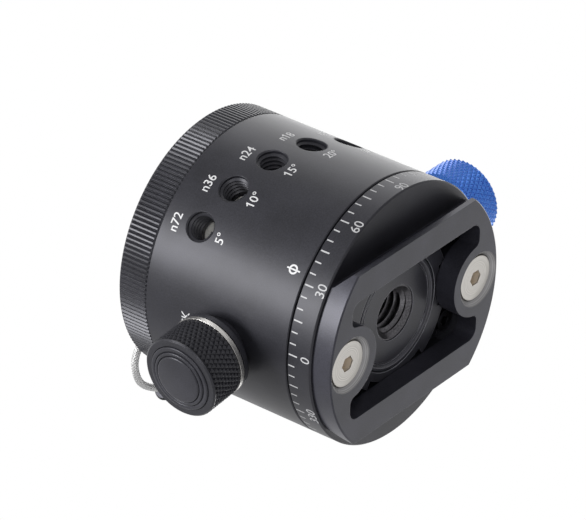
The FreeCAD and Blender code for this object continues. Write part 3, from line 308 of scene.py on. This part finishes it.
def ring_pattern(tree, place, centre_x):
    """The distance from the axes at either side of the pan axis, and lathe marks round them."""
    folded = add(tree, "VectorMath", {0: place}, operation="ABSOLUTE").outputs[0]
    moved = add(tree, "Mapping", {"Vector": folded, "Location": (-centre_x * MM, 0, 0)}).outputs[0]
    flat = add(tree, "VectorMath", {0: moved, 1: (1, 1, 0)}, operation="MULTIPLY").outputs[0]
    reach = add(tree, "VectorMath", {0: flat}, operation="LENGTH").outputs["Value"]
    mark = add(tree, "Math", {0: reach, 1: 1 / (LATHE_FEED * MM)}, operation="MULTIPLY").outputs[0]
    rings = add(tree, "TexNoise", {"W": mark, "Scale": 1.0, "Detail": 3.0}, noise_dimensions="1D")
    return reach, rings.outputs["Fac"]


def foot_finish():
    """Anodised foot: blasted all over, but its countersinks are turned and shine in fine rings."""
    finish = anodised("black_anodised_foot", "#2b2b32", "#3a3a43", 0.38, grit=0.25)
    tree = finish.node_tree
    shader = next(node for node in tree.nodes if node.type == "BSDF_PRINCIPLED")
    place = next(node for node in tree.nodes if node.type == "TEX_COORD").outputs["Object"]
    skin = shader.inputs["Normal"].links[0].from_socket
    tint = shader.inputs["Base Color"].links[0].from_socket
    reach, rings = ring_pattern(tree, place, FOOT_SCREW_X)
    inside = add(tree, "MapRange", {"Value": reach, "From Min": (COUNTERSINK_RADIUS + 0.02) * MM,
                                    "From Max": (COUNTERSINK_RADIUS - 0.02) * MM}).outputs[0]
    bright = add(tree, "MixRGB", {"Fac": rings, "Color1": colour("#3a393a"), "Color2": colour("#a4a3a4")})
    mixed = add(tree, "MixRGB", {"Fac": inside, "Color1": tint, "Color2": bright.outputs[0]})
    depth = add(tree, "Math", {0: inside, 1: 0.03 * MM}, operation="MULTIPLY").outputs[0]
    cut = add(tree, "Bump", {"Height": rings, "Distance": depth, "Normal": skin})
    tree.links.new(mixed.outputs[0], shader.inputs["Base Color"])
    tree.links.new(cut.outputs[0], shader.inputs["Normal"])
    tree.links.new(add(tree, "MapRange", {"Value": inside, "To Min": 0.3, "To Max": 0.8}).outputs[0],
                   shader.inputs["Metallic"])
    return finish


def lathe_faced(name, dark, light, rough, centre_x=0.0, hollow_z=None, hollow=None):
    """Metal faced on a lathe: fine rings about its axis.

    What lies behind the height hollow_z, the floor of a screw's key socket, is dull, and its pale hollow
    colour is a painted light that shows the socket lit where it lies in shade."""
    finish, tree, shader, place = new_finish(name)
    _, rings = ring_pattern(tree, place, centre_x)
    shade = add(tree, "MapRange", {"Value": rings, "From Min": 0.3, "From Max": 0.7}).outputs[0]
    tint = add(tree, "MixRGB", {"Fac": shade, "Color1": colour(dark), "Color2": colour(light)}).outputs[0]
    if hollow_z is not None:
        height = add(tree, "SeparateXYZ", {0: place}).outputs["Z"]
        behind = add(tree, "MapRange", {"Value": height, "From Min": hollow_z * MM,
                                        "From Max": (hollow_z + 0.15) * MM}).outputs[0]
        # The socket's floor takes the pale hollow colour: painted light where the socket lies in shade.
        tint = add(tree, "MixRGB", {"Fac": behind, "Color1": tint, "Color2": colour(hollow)}).outputs[0]
        bare = add(tree, "MapRange", {"Value": behind, "To Min": 1.0, "To Max": 0.3}).outputs[0]
        tree.links.new(bare, shader.inputs["Metallic"])
    gloss = add(tree, "MapRange", {"Value": rings, "To Min": rough - 0.06, "To Max": rough + 0.08})
    soft_edge = add(tree, "Bevel", {"Radius": 0.12 * MM}, samples=4)
    skin = add(tree, "Bump", {"Height": rings, "Distance": 0.012 * MM, "Strength": 0.8,
                              "Normal": soft_edge.outputs[0]})
    tree.links.new(tint, shader.inputs["Base Color"])
    tree.links.new(gloss.outputs[0], shader.inputs["Roughness"])
    tree.links.new(skin.outputs[0], shader.inputs["Normal"])
    shader.inputs["Metallic"].default_value = 1.0
    return finish


def metal(name, dark, light, rough, grit=0.3, depth=0.01, edge=0.08, metallic=1.0):
    """Bare or plated metal with a ground or drawn surface: faint uneven grain and soft edges."""
    finish, tree, shader, place = new_finish(name)
    fine = add(tree, "TexNoise", {"Vector": place, "Scale": 1 / (grit * MM), "Detail": 3.0}).outputs["Fac"]
    shade = add(tree, "MapRange", {"Value": fine, "From Min": 0.3, "From Max": 0.7}).outputs[0]
    tint = add(tree, "MixRGB", {"Fac": shade, "Color1": colour(dark), "Color2": colour(light)})
    gloss = add(tree, "MapRange", {"Value": fine, "To Min": rough - 0.07, "To Max": rough + 0.09})
    soft_edge = add(tree, "Bevel", {"Radius": edge * MM}, samples=4)
    skin = add(tree, "Bump", {"Height": fine, "Distance": depth * MM, "Strength": 0.8,
                              "Normal": soft_edge.outputs[0]})
    tree.links.new(tint.outputs[0], shader.inputs["Base Color"])
    tree.links.new(gloss.outputs[0], shader.inputs["Roughness"])
    tree.links.new(skin.outputs[0], shader.inputs["Normal"])
    shader.inputs["Metallic"].default_value = metallic
    return finish


def moulded(name, dark, light, rough, grit=0.4, depth=0.02, edge=0.1):
    """Rubber, plastic or ink: no metal, a fine pebbled skin and slight clouds in its colour."""
    return metal(name, dark, light, rough, grit, depth, edge, metallic=0.0)


FINISHES = {
    # Bead-blasted black anodise of the body: a soft, dark satin grey.
    "black": anodised("black_anodised_aluminium", "#222227", "#2e2e34", 0.42),
    # The same dye on turned and milled faces, a little smoother.
    "black_turned": anodised("black_anodised_turned", "#28282d", "#36363d", 0.35, grit=0.22, depth=0.004),
    # The foot's blasted faces, and the bright turned rings of its two countersinks.
    "black_foot": foot_finish(),
    # Black anodise on the knurls, where the cut points shine a little more.
    "black_knurl": anodised("black_anodised_knurl", "#212126", "#2f2f35", 0.33, edge=0.04),
    # The hub and its ring nut: turned faces with pale lines painted on their edges, a painted highlight.
    "black_hub": anodised("black_anodised_hub", "#29292e", "#37373e", 0.30, grit=0.22, depth=0.004,
                          edge=0.3, edge_highlight="#84848c"),
    # Blue dye over a bright cut knurl: a clear, metallic blue.
    "blue": anodised("blue_anodised_knurl", "#2c5cb4", "#4c7cca", 0.28, 0.7, edge=0.02),
    # The same blue on the flat end, painted darker as a painted shade where no points catch the light.
    "blue_painted_shade": anodised("blue_anodised_painted_shade", "#234e98", "#2f60b4", 0.32, 0.7),
    # Stainless screws, faced bright, with a key socket behind the face that is dull and painted a pale warm
    # colour, a painted light in place of its shade.
    "screw_steel": lathe_faced("faced_stainless_steel", "#9e9b97", "#bcb9b4", 0.30, FOOT_SCREW_X,
                               hollow_z=0.95, hollow="#d8cdbe"),
    # A bare turned aluminium ring under the lock knob.
    "bright_ring": lathe_faced("turned_bright_aluminium", "#a8a6a4", "#cfcdca", 0.3),
    # Socket screws and clips: steel with a black oxide.
    "black_steel": metal("blackened_steel", "#1b1b1d", "#2a2a2c", 0.38),
    # The tapped bush: oiled steel whose thread crests shine.
    "thread_steel": metal("cut_thread_steel", "#38373a", "#5a595c", 0.3, 0.3, 0.003),
    # The hardened index drum: bright, and satin enough to scatter what light the ports let in.
    "drum_steel": metal("turned_drum_steel", "#e4e2dd", "#f8f7f3", 0.4, 0.4, metallic=0.2),
    # Ball bearing steel, ground almost to a mirror.
    "bearing_steel": metal("ground_bearing_steel", "#c4c4c4", "#d8d8d8", 0.16, 0.5, 0.004),
    # Drawn spring wire and the coned washer: a plain grey sheen.
    "spring_steel": metal("drawn_spring_steel", "#9a9894", "#b8b6b2", 0.3),
    # Nickel plate over a turned plunger barrel and the camera stud.
    "nickel": metal("nickel_plated_brass", "#c2bdb2", "#d6d1c6", 0.24),
    # The bearing's pressed cage and the lock's turned pad: warm yellow brass.
    "cage_brass": metal("pressed_brass", "#b08d4a", "#c9a45c", 0.3),
    "pad_brass": metal("turned_brass", "#b3914f", "#cfab62", 0.3),
    # An oil-filled sintered bearing bush, dull brown.
    "bronze": metal("sintered_bronze", "#8f6a3e", "#aa8250", 0.42),
    # Drawn wire strands of the tether: a soft grey shine.
    "cable": metal("stranded_steel_wire", "#9c9c9c", "#bababa", 0.5, 0.3, 0.004),
    # The crimp sleeve that joins its ends, blackened.
    "sleeve": metal("blackened_crimp_sleeve", "#1d1d1f", "#2d2d30", 0.36),
    # Black moulded rubber of the camera pad, dull and slightly dusty.
    "rubber": moulded("moulded_rubber", "#19191a", "#232324", 0.75),
    # A thrust washer cut from acetal: waxy and off-white.
    "washer": moulded("acetal_washer", "#d6d3c8", "#e2dfd5", 0.4),
    # Printed white marks: a matt ink with slightly uneven cover.
    "ink": moulded("printed_white_ink", "#c2c2c4", "#dededf", 0.6, 0.2, 0.004, 0.02),
    # Paint wiped into the engraved dial, a little greyer.
    "dial_ink": moulded("engraved_dial_paint", "#a4a4a6", "#c4c4c6", 0.6, 0.2, 0.004, 0.02),
}


def dress(part, finish, body=None, stands_for=()):
    """Give the part its finish, and a new part its body and what it replaces."""
    part.data.materials.clear()
    part.data.materials.append(FINISHES[finish])
    if body:
        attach(part, body)
    if stands_for:
        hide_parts(*stands_for)
    return part


# ================================================================ safety tether
def tether_line():
    """The cable's line: out of the sleeve, through the clamp and round back into the sleeve."""
    z = FLANGE_TOP + TETHER_RADIUS + TETHER_LIFT
    points = [(-10.077, 32.606), (-14.138, 30.447), (-18.8, 27.5), (-20.9, 24.7), (-21.8, 20.4),
              (-20.1, 17.1), (-16.9, 16.2), (-13.8, 17.5), (-10.5, 20.1), (-6.9, 22.5),
              (-3.3, 25.0), (-0.9, 27.9), (-0.4, 31.3), (-2.2, 34.5), (-5.662, 34.953), (-9.723, 32.794)]
    line = bpy.data.curves.new("tether_line", "CURVE")
    line.dimensions = "3D"
    line.resolution_u = 24
    spline = line.splines.new("NURBS")
    spline.points.add(len(points) - 1)
    for place, (x, y) in zip(spline.points, points):
        place.co = (x * MM, y * MM, z * MM, 1)
    spline.order_u = 3
    spline.use_endpoint_u = True
    holder = bpy.data.objects.new("tether_line", line)
    bpy.context.scene.collection.objects.link(holder)
    bpy.context.view_layer.update()
    mesh = bpy.data.meshes.new_from_object(holder)
    path = [v.co.copy() for v in mesh.vertices]
    bpy.data.objects.remove(holder)
    bpy.data.meshes.remove(mesh)
    return path


def tether_strands(path, strand=0.14, hands=8, lay=4.8, spacing=0.16):
    """Two hands of wire strands that weave over and under each other round a plain core.

    Each strand goes once round in the length of lay, and has a point at every spacing."""
    lengths = [0.0]
    for a, b in zip(path, path[1:]):
        lengths.append(lengths[-1] + (b - a).length)
    total = lengths[-1]
    count = int(total / (spacing * MM))
    places, tangents, k = [], [], 0
    for step in range(count + 1):
        want = total * step / count
        while k < len(lengths) - 2 and lengths[k + 1] < want:
            k += 1
        share = (want - lengths[k]) / max(lengths[k + 1] - lengths[k], 1e-9)
        places.append(path[k].lerp(path[k + 1], share))
        tangents.append((path[k + 1] - path[k]).normalized())
    wires = bpy.data.curves.new("tether_strands", "CURVE")
    wires.dimensions = "3D"
    wires.bevel_depth = strand * MM
    wires.bevel_resolution = 1
    wires.use_fill_caps = True
    middle = TETHER_RADIUS - 1.5 * strand     # so that a strand at its highest just keeps the radius
    for hand in (1, -1):
        for start in range(hands):
            spline = wires.splines.new("POLY")
            spline.points.add(count)
            for step, (place, ahead) in enumerate(zip(places, tangents)):
                side = Vector((0, 0, 1)).cross(ahead).normalized()
                turn = hand * 2 * math.pi * (step * total / count / (lay * MM)) + 2 * math.pi * start / hands
                weave = 0.5 * strand * hand * math.cos(hands * turn)
                reach = (middle + weave) * MM
                out = side * math.cos(turn) + Vector((0, 0, 1)) * math.sin(turn)
                spline.points[step].co = (*(place + out * reach), 1)
    core = wires.splines.new("POLY")
    core.points.add(count)
    for point, place in zip(core.points, places):
        point.co = (*place, 1)
        point.radius = middle / strand
    part = bpy.data.objects.new("tether_cable_braid", wires)
    bpy.context.scene.collection.objects.link(part)
    take(part)
    bpy.ops.object.convert(target="MESH")
    part = bpy.context.view_layer.objects.active
    part.name = "tether_cable_braid"
    return smooth(part, 60)


place_camera()
bpy.context.scene.view_settings.view_transform = "Standard"
tether_path = tether_line()
braid = tether_strands(tether_path)
dress(braid, "cable", "head", ["tether_cable"])


# ================================================================ knurled flange
def knurled_flange(ridges=176, depth=0.32, edge=0.3):
    """The flange with narrow-topped straight ridges round its rim; the grooves run out at both faces."""
    columns = 3 * ridges
    part = turned("knurled_flange", [
        (RACE_SEAT_RADIUS, BOSS_LOW), (BOSS_RADIUS, BOSS_LOW), (BOSS_RADIUS, SPIGOT_LOW),
        (SPIGOT_RADIUS, SPIGOT_LOW), (SPIGOT_RADIUS, FLANGE_LOW), (BODY_RADIUS - edge, FLANGE_LOW),
        (BODY_RADIUS, FLANGE_LOW + edge), (BODY_RADIUS, FLANGE_TOP - edge),
        (BODY_RADIUS - edge, FLANGE_TOP), (FLANGE_WELL_RADIUS, FLANGE_TOP),
        (FLANGE_WELL_RADIUS, RACE_SEAT_TOP), (RACE_SEAT_RADIUS, RACE_SEAT_TOP)], steps=columns)
    bpy.ops.object.mode_set(mode="EDIT")
    press_in(part, BODY_RADIUS, depth, lambda corner: column(corner, columns) % 3 == 2)
    bpy.ops.object.mode_set(mode="OBJECT")
    tools = []
    for angle in FLANGE_SCREW_ANGLES:
        x = FLANGE_SCREW_RING * math.cos(math.radians(angle))
        y = FLANGE_SCREW_RING * math.sin(math.radians(angle))
        tools.append(drill(COUNTERBORE_RADIUS, FLANGE_TOP - COUNTERBORE_DEPTH, FLANGE_TOP + CUT, x, y))
    return smooth(cut_away(part, tools), 20)


# ================================================================ knobs
def side_rows(radius, low, high, rows):
    """The corners of a knob's side, one for each row of knurl points."""
    return [(radius, low + (high - low) * k / rows) for k in range(rows + 1)]


def point_knurl(part, columns, low, high, rows, radius):
    """Press two crossing sets of grooves into a turned side, so that four-sided points stand."""
    take(part)
    bpy.ops.object.mode_set(mode="EDIT")
    row = (high - low) / rows
    press_in(part, radius, POINT_DEPTH, lambda corner: (low - 0.01) * MM < corner.co.z < (high + 0.01) * MM
             and (column(corner, columns) + round((corner.co.z / MM - low) / row)) % 2 == 0)
    bpy.ops.mesh.vert_connect()
    bpy.ops.object.mode_set(mode="OBJECT")
    return part


def lock_knob(columns=98, rows=8, edge=0.3, bore=3.0, well=6.98):
    """The lock's knob: diamond points up to a bare lip, and a well in its end for the cap."""
    radius, low, high = LOCK_KNOB_RADIUS, LOCK_KNOB_LOW, LOCK_KNOB_HIGH
    first, last = low + 0.25, high - 0.6
    part = turned("lock_knob_knurled", [
        (bore, low), (radius - edge, low)] + side_rows(radius, first, last, rows) + [
        (radius - 0.12, high - 0.5), (radius - 0.1, high - 0.3), (radius - edge - 0.1, high),
        (7.1, high), (well, high - 0.12), (well, LOCK_CAP_SEAT), (bore, LOCK_CAP_SEAT)], steps=columns)
    point_knurl(part, columns, first, last, rows, radius)
    return lay_radially(smooth(part, 25), LOCK_ANGLE, LOCK_Z)


def lock_cap():
    """The cap pressed into the knob's end: a ring, a narrow step and a slightly raised middle."""
    low, end = LOCK_CAP_SEAT, LOCK_KNOB_HIGH
    part = turned("lock_cap_turned", [
        (0, low), (6.95, low), (6.95, end + 0.12), (6.88, end + 0.25), (6.72, end + 0.3),
        (6.12, end + 0.3), (6.05, end + 0.24), (6.0, end + 0.08), (5.93, end + 0.08),
        (5.88, end + 0.36), (5.8, end + 0.48), (5.66, end + 0.54), (5.32, end + 0.54), (5.22, end + 0.48),
        (5.17, end + 0.28), (5.1, end + 0.28), (5.05, end + 0.56), (4.94, end + 0.7), (4.72, end + 0.75),
        (0, end + 0.75)], steps=128)
    return lay_radially(smooth(part, 50), LOCK_ANGLE, LOCK_Z)


def index_knob(columns=96, rows=8, rod_bore=1.03, hollow=6.2, hollow_depth=1.2, cap_bore=4.03,
               cap_depth=1.4):
    """The plunger's knob: diamond points all along, hollowed at the body and bored for its cap."""
    radius, low, high = INDEX_KNOB_RADIUS, INDEX_KNOB_LOW, INDEX_KNOB_HIGH
    first, last = low + 0.7, high - 0.3
    part = turned("index_knob_knurled", [
        (rod_bore, low + hollow_depth), (hollow, low + hollow_depth), (hollow, low), (radius - 0.9, low),
        (radius - 0.3, low + 0.5)] + side_rows(radius, first, last, rows) + [
        (radius - 0.4, high), (cap_bore, high), (cap_bore, high - cap_depth),
        (rod_bore, high - cap_depth)], steps=columns)
    point_knurl(part, columns, first, last, rows, radius)
    return lay_radially(smooth(part, 25), PLUNGER_ANGLE, PLUNGER_Z)


def return_spring():
    """The plunger's spring, which in the real head shortens as the pin is drawn out; here a copy of its
    coil, carried by the head.
    """
    coil = nodes["index_spring"]
    part = bpy.data.objects.new("index_spring_coil", coil.data.copy())
    bpy.context.scene.collection.objects.link(part)
    part.matrix_world = coil.matrix_world
    settle(part)
    dress(part, "spring_steel", "head", ["index_spring"])
    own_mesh(part)


# ================================================================ threads
def wound(part, pitch, turns, steps):
    """Wind a closed line round Z, one pitch further for each turn."""
    return finish_modifier(part, "SCREW", axis="Z", angle=2 * math.pi, screw_offset=pitch * MM,
                           iterations=turns, steps=steps, render_steps=steps, use_merge_vertices=False)


def thread_ridge(name, root, crest, pitch, turns, low, steps):
    """One helical ridge of a thread, from its root radius to its crest radius."""
    half_root, half_crest = RIDGE_ROOT * pitch / 2, RIDGE_CREST * pitch / 2
    part = drawn_line(name, [(root, low - half_root), (crest, low - half_crest),
                             (crest, low + half_crest), (root, low + half_root), (root, low - half_root)])
    wound(close_up(part), pitch, turns, steps)
    bpy.ops.object.mode_set(mode="EDIT")
    bpy.ops.mesh.select_mode(type="EDGE")
    bpy.ops.mesh.select_all(action="DESELECT")
    bpy.ops.mesh.select_non_manifold()
    bpy.ops.mesh.edge_face_add()
    bpy.ops.object.mode_set(mode="OBJECT")
    return close_up(part)


def port_threads():
    """The M6 threads of the index ports; the plunger's port has none that shows."""
    pattern = thread_ridge("port_thread", root=3.03, crest=2.5, pitch=1.0, turns=5, low=21.9, steps=32)
    smooth(pattern, 40)
    ridges = []
    for stops, _, angle, height in PORTS:
        if stops == PLUNGER_STOPS:
            continue
        ridge = bpy.data.objects.new("port_thread", pattern.data.copy())
        bpy.context.scene.collection.objects.link(ridge)
        ridges.append(lay_radially(ridge, angle, height))
    bpy.data.objects.remove(pattern)
    return join("port_threads", ridges)


def socket_thread():
    """The socket's thread, cut back by the chamfer at its mouth so that it fades in."""
    ridge = thread_ridge("socket_thread", root=4.80, crest=3.98, pitch=INCH_PITCH, turns=8, low=5.3,
                         steps=64)
    # The cone reaches from well below the foot up into the bore, a little wider than the chamfer.
    mouth = turned("mouth", [(0, 3.0), (7.76, 3.0), (5.56, 5.2), (3.9, 6.86), (0, 6.86)], steps=64)
    return smooth(cut_away(ridge, [mouth]), 40)


def camera_stud(crest=4.72, root=3.85, seat_radius=6.0, slot_width=1.2, slot_depth=1.2):
    """The 3/8 inch camera stud: a cut thread, a slotted end and a plain foot in the plate."""
    top, pitch = PAD_TOP + STUD_HEIGHT, INCH_PITCH
    start = PLATE_TOP - 2 * pitch
    part = drawn_line("camera_stud_threaded", [
        (root, start), (crest, start + 0.42 * pitch), (crest, start + 0.56 * pitch),
        (root, start + 0.98 * pitch), (root, start + pitch)])
    close_up(wound(part, pitch, turns=9, steps=64))
    bpy.ops.object.mode_set(mode="EDIT")
    for level, clear in ((PLATE_TOP - 0.1, "clear_inner"), (top, "clear_outer")):
        bpy.ops.mesh.select_all(action="SELECT")
        bpy.ops.mesh.bisect(plane_co=(0, 0, level * MM), plane_no=(0, 0, 1), use_fill=True,
                            threshold=1e-7, **{clear: True})
    bpy.ops.object.mode_set(mode="OBJECT")
    close_up(part)
    tip = turned("tip", [(3.6, top + 0.05), (crest + CUT, top + 0.05), (crest + CUT, top - 0.9),
                         (crest + 0.1, top - 0.9)], steps=64)
    cut_away(part, [tip])
    slot = block("slot_tool", (12 * MM, slot_width * MM, 2 * slot_depth * MM), (0, 0, top * MM))
    cut_away(part, [slot])
    seat = turned("stud_seat", [(0, FLANGE_TOP), (seat_radius, FLANGE_TOP), (seat_radius, PLATE_TOP),
                                (0, PLATE_TOP)], steps=64)
    return smooth(join("camera_stud_threaded", [part, seat]), 35)


# ================================================================ camera pad
def camera_pad(first_groove=19.7, last_groove=8.2, pitch=1.25, groove_depth=0.22):
    """A moulded rubber ring with flat-topped concentric ribs and rounded rims."""
    low, high = PLATE_TOP, PAD_TOP
    floor = high - groove_depth
    line = [(PAD_BORE_RADIUS, low), (PAD_RADIUS, low), (PAD_RADIUS, high - 0.25), (20.3, high - 0.04),
            (20.1, high)]
    reach = first_groove
    while reach > last_groove:
        line += [(reach, high), (reach - 0.12, floor), (reach - 0.33, floor), (reach - 0.45, high)]
        reach -= pitch
    line += [(7.35, high), (7.1, high - 0.06), (PAD_BORE_RADIUS, high - 0.25)]
    return smooth(turned("camera_pad_ribbed", line, steps=128), 40)


# ================================================================ marks
def stood_up(part):
    """Stand a flat mark up in the XZ plane, so that it faces outward and reads the right way."""
    part.rotation_euler = (math.pi / 2, 0, math.pi)
    return settle(part)


def wrapped(part):
    """Bend a flat mark, drawn in the XZ plane and thick along Y, round the body's cylinder."""
    return finish_modifier(part, "SIMPLE_DEFORM", deform_method="BEND", deform_axis="Z",
                           angle=-part.dimensions.x / (BODY_RADIUS * MM))


def put_on_side(part, angle, height, radius=BODY_RADIUS - 0.03):
    """Sink a bent mark into the cylinder's side at this angle and height, all but flush."""
    turn = math.radians(angle)
    part.location = (radius * MM * math.cos(turn), radius * MM * math.sin(turn), height * MM)
    part.rotation_euler = (0, 0, turn - math.pi / 2)
    return settle(part)


def flag_ones(part):
    """Give every bare upright, which stands for a 1, the short slanting flag at its top.

    The flag's length, width and place are shares of the lettering's height."""
    full = part.dimensions.y
    bpy.ops.object.mode_set(mode="EDIT")
    bpy.ops.mesh.select_all(action="SELECT")
    bpy.ops.mesh.separate(type="LOOSE")
    bpy.ops.object.mode_set(mode="OBJECT")
    glyphs = list(bpy.context.selected_objects)
    flags = []
    for glyph in glyphs:
        wide, tall, thick = glyph.dimensions
        if wide > 0.3 * full or tall < 0.8 * full:
            continue
        left = min(corner[0] for corner in glyph.bound_box)
        top = max(corner[1] for corner in glyph.bound_box)
        flags.append(block("flag", (0.34 * full, 0.13 * full, thick),
                           (left - 0.06 * full, top - 0.17 * full, 0), math.radians(38)))
    return join("mark", glyphs + flags)


def printed(words, height, angle, z, squeeze, weight=0.0):
    """Lettering of this height that reads anticlockwise round the side, narrowed and thickened."""
    drop_selection()
    bpy.ops.object.text_add()
    text = bpy.context.view_layer.objects.active
    text.data.body = words
    text.data.align_x, text.data.align_y = "CENTER", "CENTER"
    text.data.size = height * MM * 1.38     # near enough; the height is set exactly below
    text.data.offset = weight * MM
    text.data.resolution_u = 4
    text.data.extrude = MARK_DEPTH * MM
    take(text)
    bpy.ops.object.convert(target="MESH")
    part = flag_ones(name_new("mark"))
    grow = height * MM / part.dimensions.y
    part.scale = (grow * squeeze, grow, 1)
    settle(part)
    bpy.ops.object.origin_set(type="ORIGIN_GEOMETRY", center="BOUNDS")
    part.location = (0, 0, 0)
    return put_on_side(wrapped(stood_up(part)), angle, z)


def index_mark(angle, z):
    """A small ring with a line through it along the axis."""
    inner, outer = 0.62, 1.0
    ring = turned("mark", [(inner, -MARK_DEPTH), (outer, -MARK_DEPTH), (outer, MARK_DEPTH),
                           (inner, MARK_DEPTH)], steps=40)
    ring = put_on_side(wrapped(stood_up(ring)), angle, z)
    return [ring, tick(angle, z - 1.6, z + 1.5, width=0.32)]


def tick(angle, low, high, width):
    """A short line along the axis on the cylinder's side."""
    part = block("mark", (width * MM, 2 * MARK_DEPTH * MM, (high - low) * MM))
    return put_on_side(part, angle, (low + high) / 2)


def body_marks():
    """Stops and degrees at each port, the lock's word, and the index mark over the dial."""
    marks = []
    for stops, degrees, angle, z in PORTS:
        marks.append(printed("n%d" % stops, 2.0, angle - 1.9, z + 5.7, squeeze=0.95, weight=0.02))
        marks.append(printed("%d°" % degrees, 2.05, angle - 1.3, z - 5.25, squeeze=0.97, weight=0.02))
    marks.append(printed("LOCK", 2.0, LOCK_ANGLE + 1.4, 35.3, squeeze=0.95))
    marks += index_mark(217.7, 13.43)
    return join("body_marks", marks)


def dial_marks():
    """A line each 5 degrees, a longer one each 15, and a number each 30."""
    first = [tick(DIAL_ZERO, 7.75, 9.75, width=0.3)]
    first += [tick(DIAL_ZERO + 5 * k, 8.3, 9.75, width=0.27) for k in (1, 2)]
    marks = [join("mark", first)]
    bpy.ops.object.mode_set(mode="EDIT")
    bpy.ops.mesh.select_all(action="SELECT")
    bpy.ops.mesh.spin(steps=23, angle=2 * math.pi * 23 / 24, dupli=True, center=(0, 0, 0), axis=(0, 0, 1))
    bpy.ops.object.mode_set(mode="OBJECT")
    for k in range(12):
        marks.append(printed("%d" % (30 * k), 2.1, DIAL_ZERO + 30 * k, 5.85, squeeze=0.94))
    return join("dial_marks", marks)


# ================================================================ make and dress the pieces
dress(knurled_flange(), "black_knurl", "head", ["top_flange"])
dress(lock_knob(), "black_knurl", "lock_knob_body", ["lock_knob"])
dress(lock_cap(), "black_turned", "lock_knob_body", ["lock_cap"])
dress(index_knob(), "blue", "index_plunger", ["index_knob"])
return_spring()
dress(port_threads(), "black", "head")
dress(socket_thread(), "thread_steel", "base")
dress(camera_stud(), "nickel", "head", ["camera_stud"])
dress(camera_pad(), "rubber", "head", ["camera_pad"])
dress(body_marks(), "ink", "head")
dress(dial_marks(), "dial_ink", "base")

DRESSED = {
    "black": ["body_shell", "dial_ring"],
    "black_foot": ["foot_plate"],
    "black_turned": ["lock_collar", "camera_plate"],
    "black_hub": ["spindle", "hub_ring_nut"],
    "screw_steel": ["foot_screws"],
    "black_steel": ["base_screws", "flange_screws", "plate_screws", "spindle_nut", "drum_dowels",
                    "bearing_circlip", "tether_screw", "tether_clamp"],
    "thread_steel": ["socket_bush"],
    "drum_steel": ["index_drum", "index_pin", "lock_stud"],
    "bearing_steel": ["bearing_inner_race", "bearing_outer_race", "bearing_balls"],
    "cage_brass": ["bearing_cage"],
    "pad_brass": ["lock_pad"],
    "bronze": ["index_bush"],
    "spring_steel": ["preload_washer"],
    "nickel": ["index_barrel"],
    "bright_ring": ["lock_ring"],
    "sleeve": ["tether_sleeve"],
    "washer": ["thrust_washer"],
    "blue_painted_shade": ["index_cap"],
}
for finish, names in DRESSED.items():
    for name in names:
        dress(nodes[name], finish)


# ================================================================ floor, world and lamps
def lay_floor():
    """A pale floor under the foot. From below it lets the eye and the light through."""
    drop_selection()
    bpy.ops.mesh.primitive_plane_add(size=3, location=(0, 0, -0.2 * MM))
    floor = settle(name_new("floor"))
    finish = bpy.data.materials.new("pale_floor")
    finish.use_nodes = True
    tree = finish.node_tree
    tree.nodes.clear()
    pale = add(tree, "BsdfDiffuse", {"Color": colour("#f0f0f0")})
    clear = add(tree, "BsdfTransparent")
    below = add(tree, "NewGeometry").outputs["Backfacing"]
    seen = add(tree, "LightPath").outputs["Is Camera Ray"]
    above = add(tree, "Math", {0: seen, 1: below}, operation="SUBTRACT", use_clamp=True).outputs[0]
    shown = add(tree, "MixShader", {0: above, 1: clear.outputs[0], 2: pale.outputs[0]})
    add(tree, "OutputMaterial", {"Surface": shown.outputs[0]})
    floor.data.materials.append(finish)


def light_world(ambient=0.3):
    """White to the eye, to gloss and through glass, and a softer even light on surfaces."""
    world = bpy.data.worlds.new("studio")
    bpy.context.scene.world = world
    world.use_nodes = True
    tree = world.node_tree
    tree.nodes.clear()
    path = add(tree, "LightPath").outputs
    seen = add(tree, "Math", {0: path["Is Camera Ray"], 1: path["Is Glossy Ray"]}, operation="MAXIMUM")
    seen = add(tree, "Math", {0: seen.outputs[0], 1: path["Is Transmission Ray"]}, operation="MAXIMUM")
    white = add(tree, "Background", {"Color": (1, 1, 1, 1), "Strength": 1.0})
    soft = add(tree, "Background", {"Color": (1, 1, 1, 1), "Strength": ambient})
    shown = add(tree, "MixShader", {0: seen.outputs[0], 1: soft.outputs[0], 2: white.outputs[0]})
    add(tree, "OutputWorld", {"Surface": shown.outputs[0]})


def hang_lamp(name, place, width, height, power):
    """A soft box that faces the middle of the head; place and size in metres, power in watts."""
    light = bpy.data.lights.new(name, "AREA")
    light.shape = "RECTANGLE"
    light.size, light.size_y = width, height
    light.energy = power
    lamp = bpy.data.objects.new(name, light)
    bpy.context.scene.collection.objects.link(lamp)
    lamp.location = place
    aim = Vector(place) - Vector((0, 0, 30 * MM))
    lamp.rotation_euler = aim.to_track_quat("Z", "Y").to_euler()


lay_floor()
light_world()
# The key stands high on the lock's side and the rim light behind; the other three only fill.
hang_lamp("key_light", (-0.82, -0.25, 0.55), width=0.4, height=0.4, power=11.5)
hang_lamp("rim_light", (0.95, -0.2, 0.58), width=2.0, height=0.9, power=10.0)
hang_lamp("low_light", (0.85, 0.62, -0.1), width=0.7, height=0.5, power=2.1)
hang_lamp("foot_light", (-0.25, 0.6, -0.9), width=0.5, height=0.5, power=0.9)
hang_lamp("front_light", (-0.8, -0.6, -0.45), width=0.35, height=0.35, power=2.7)
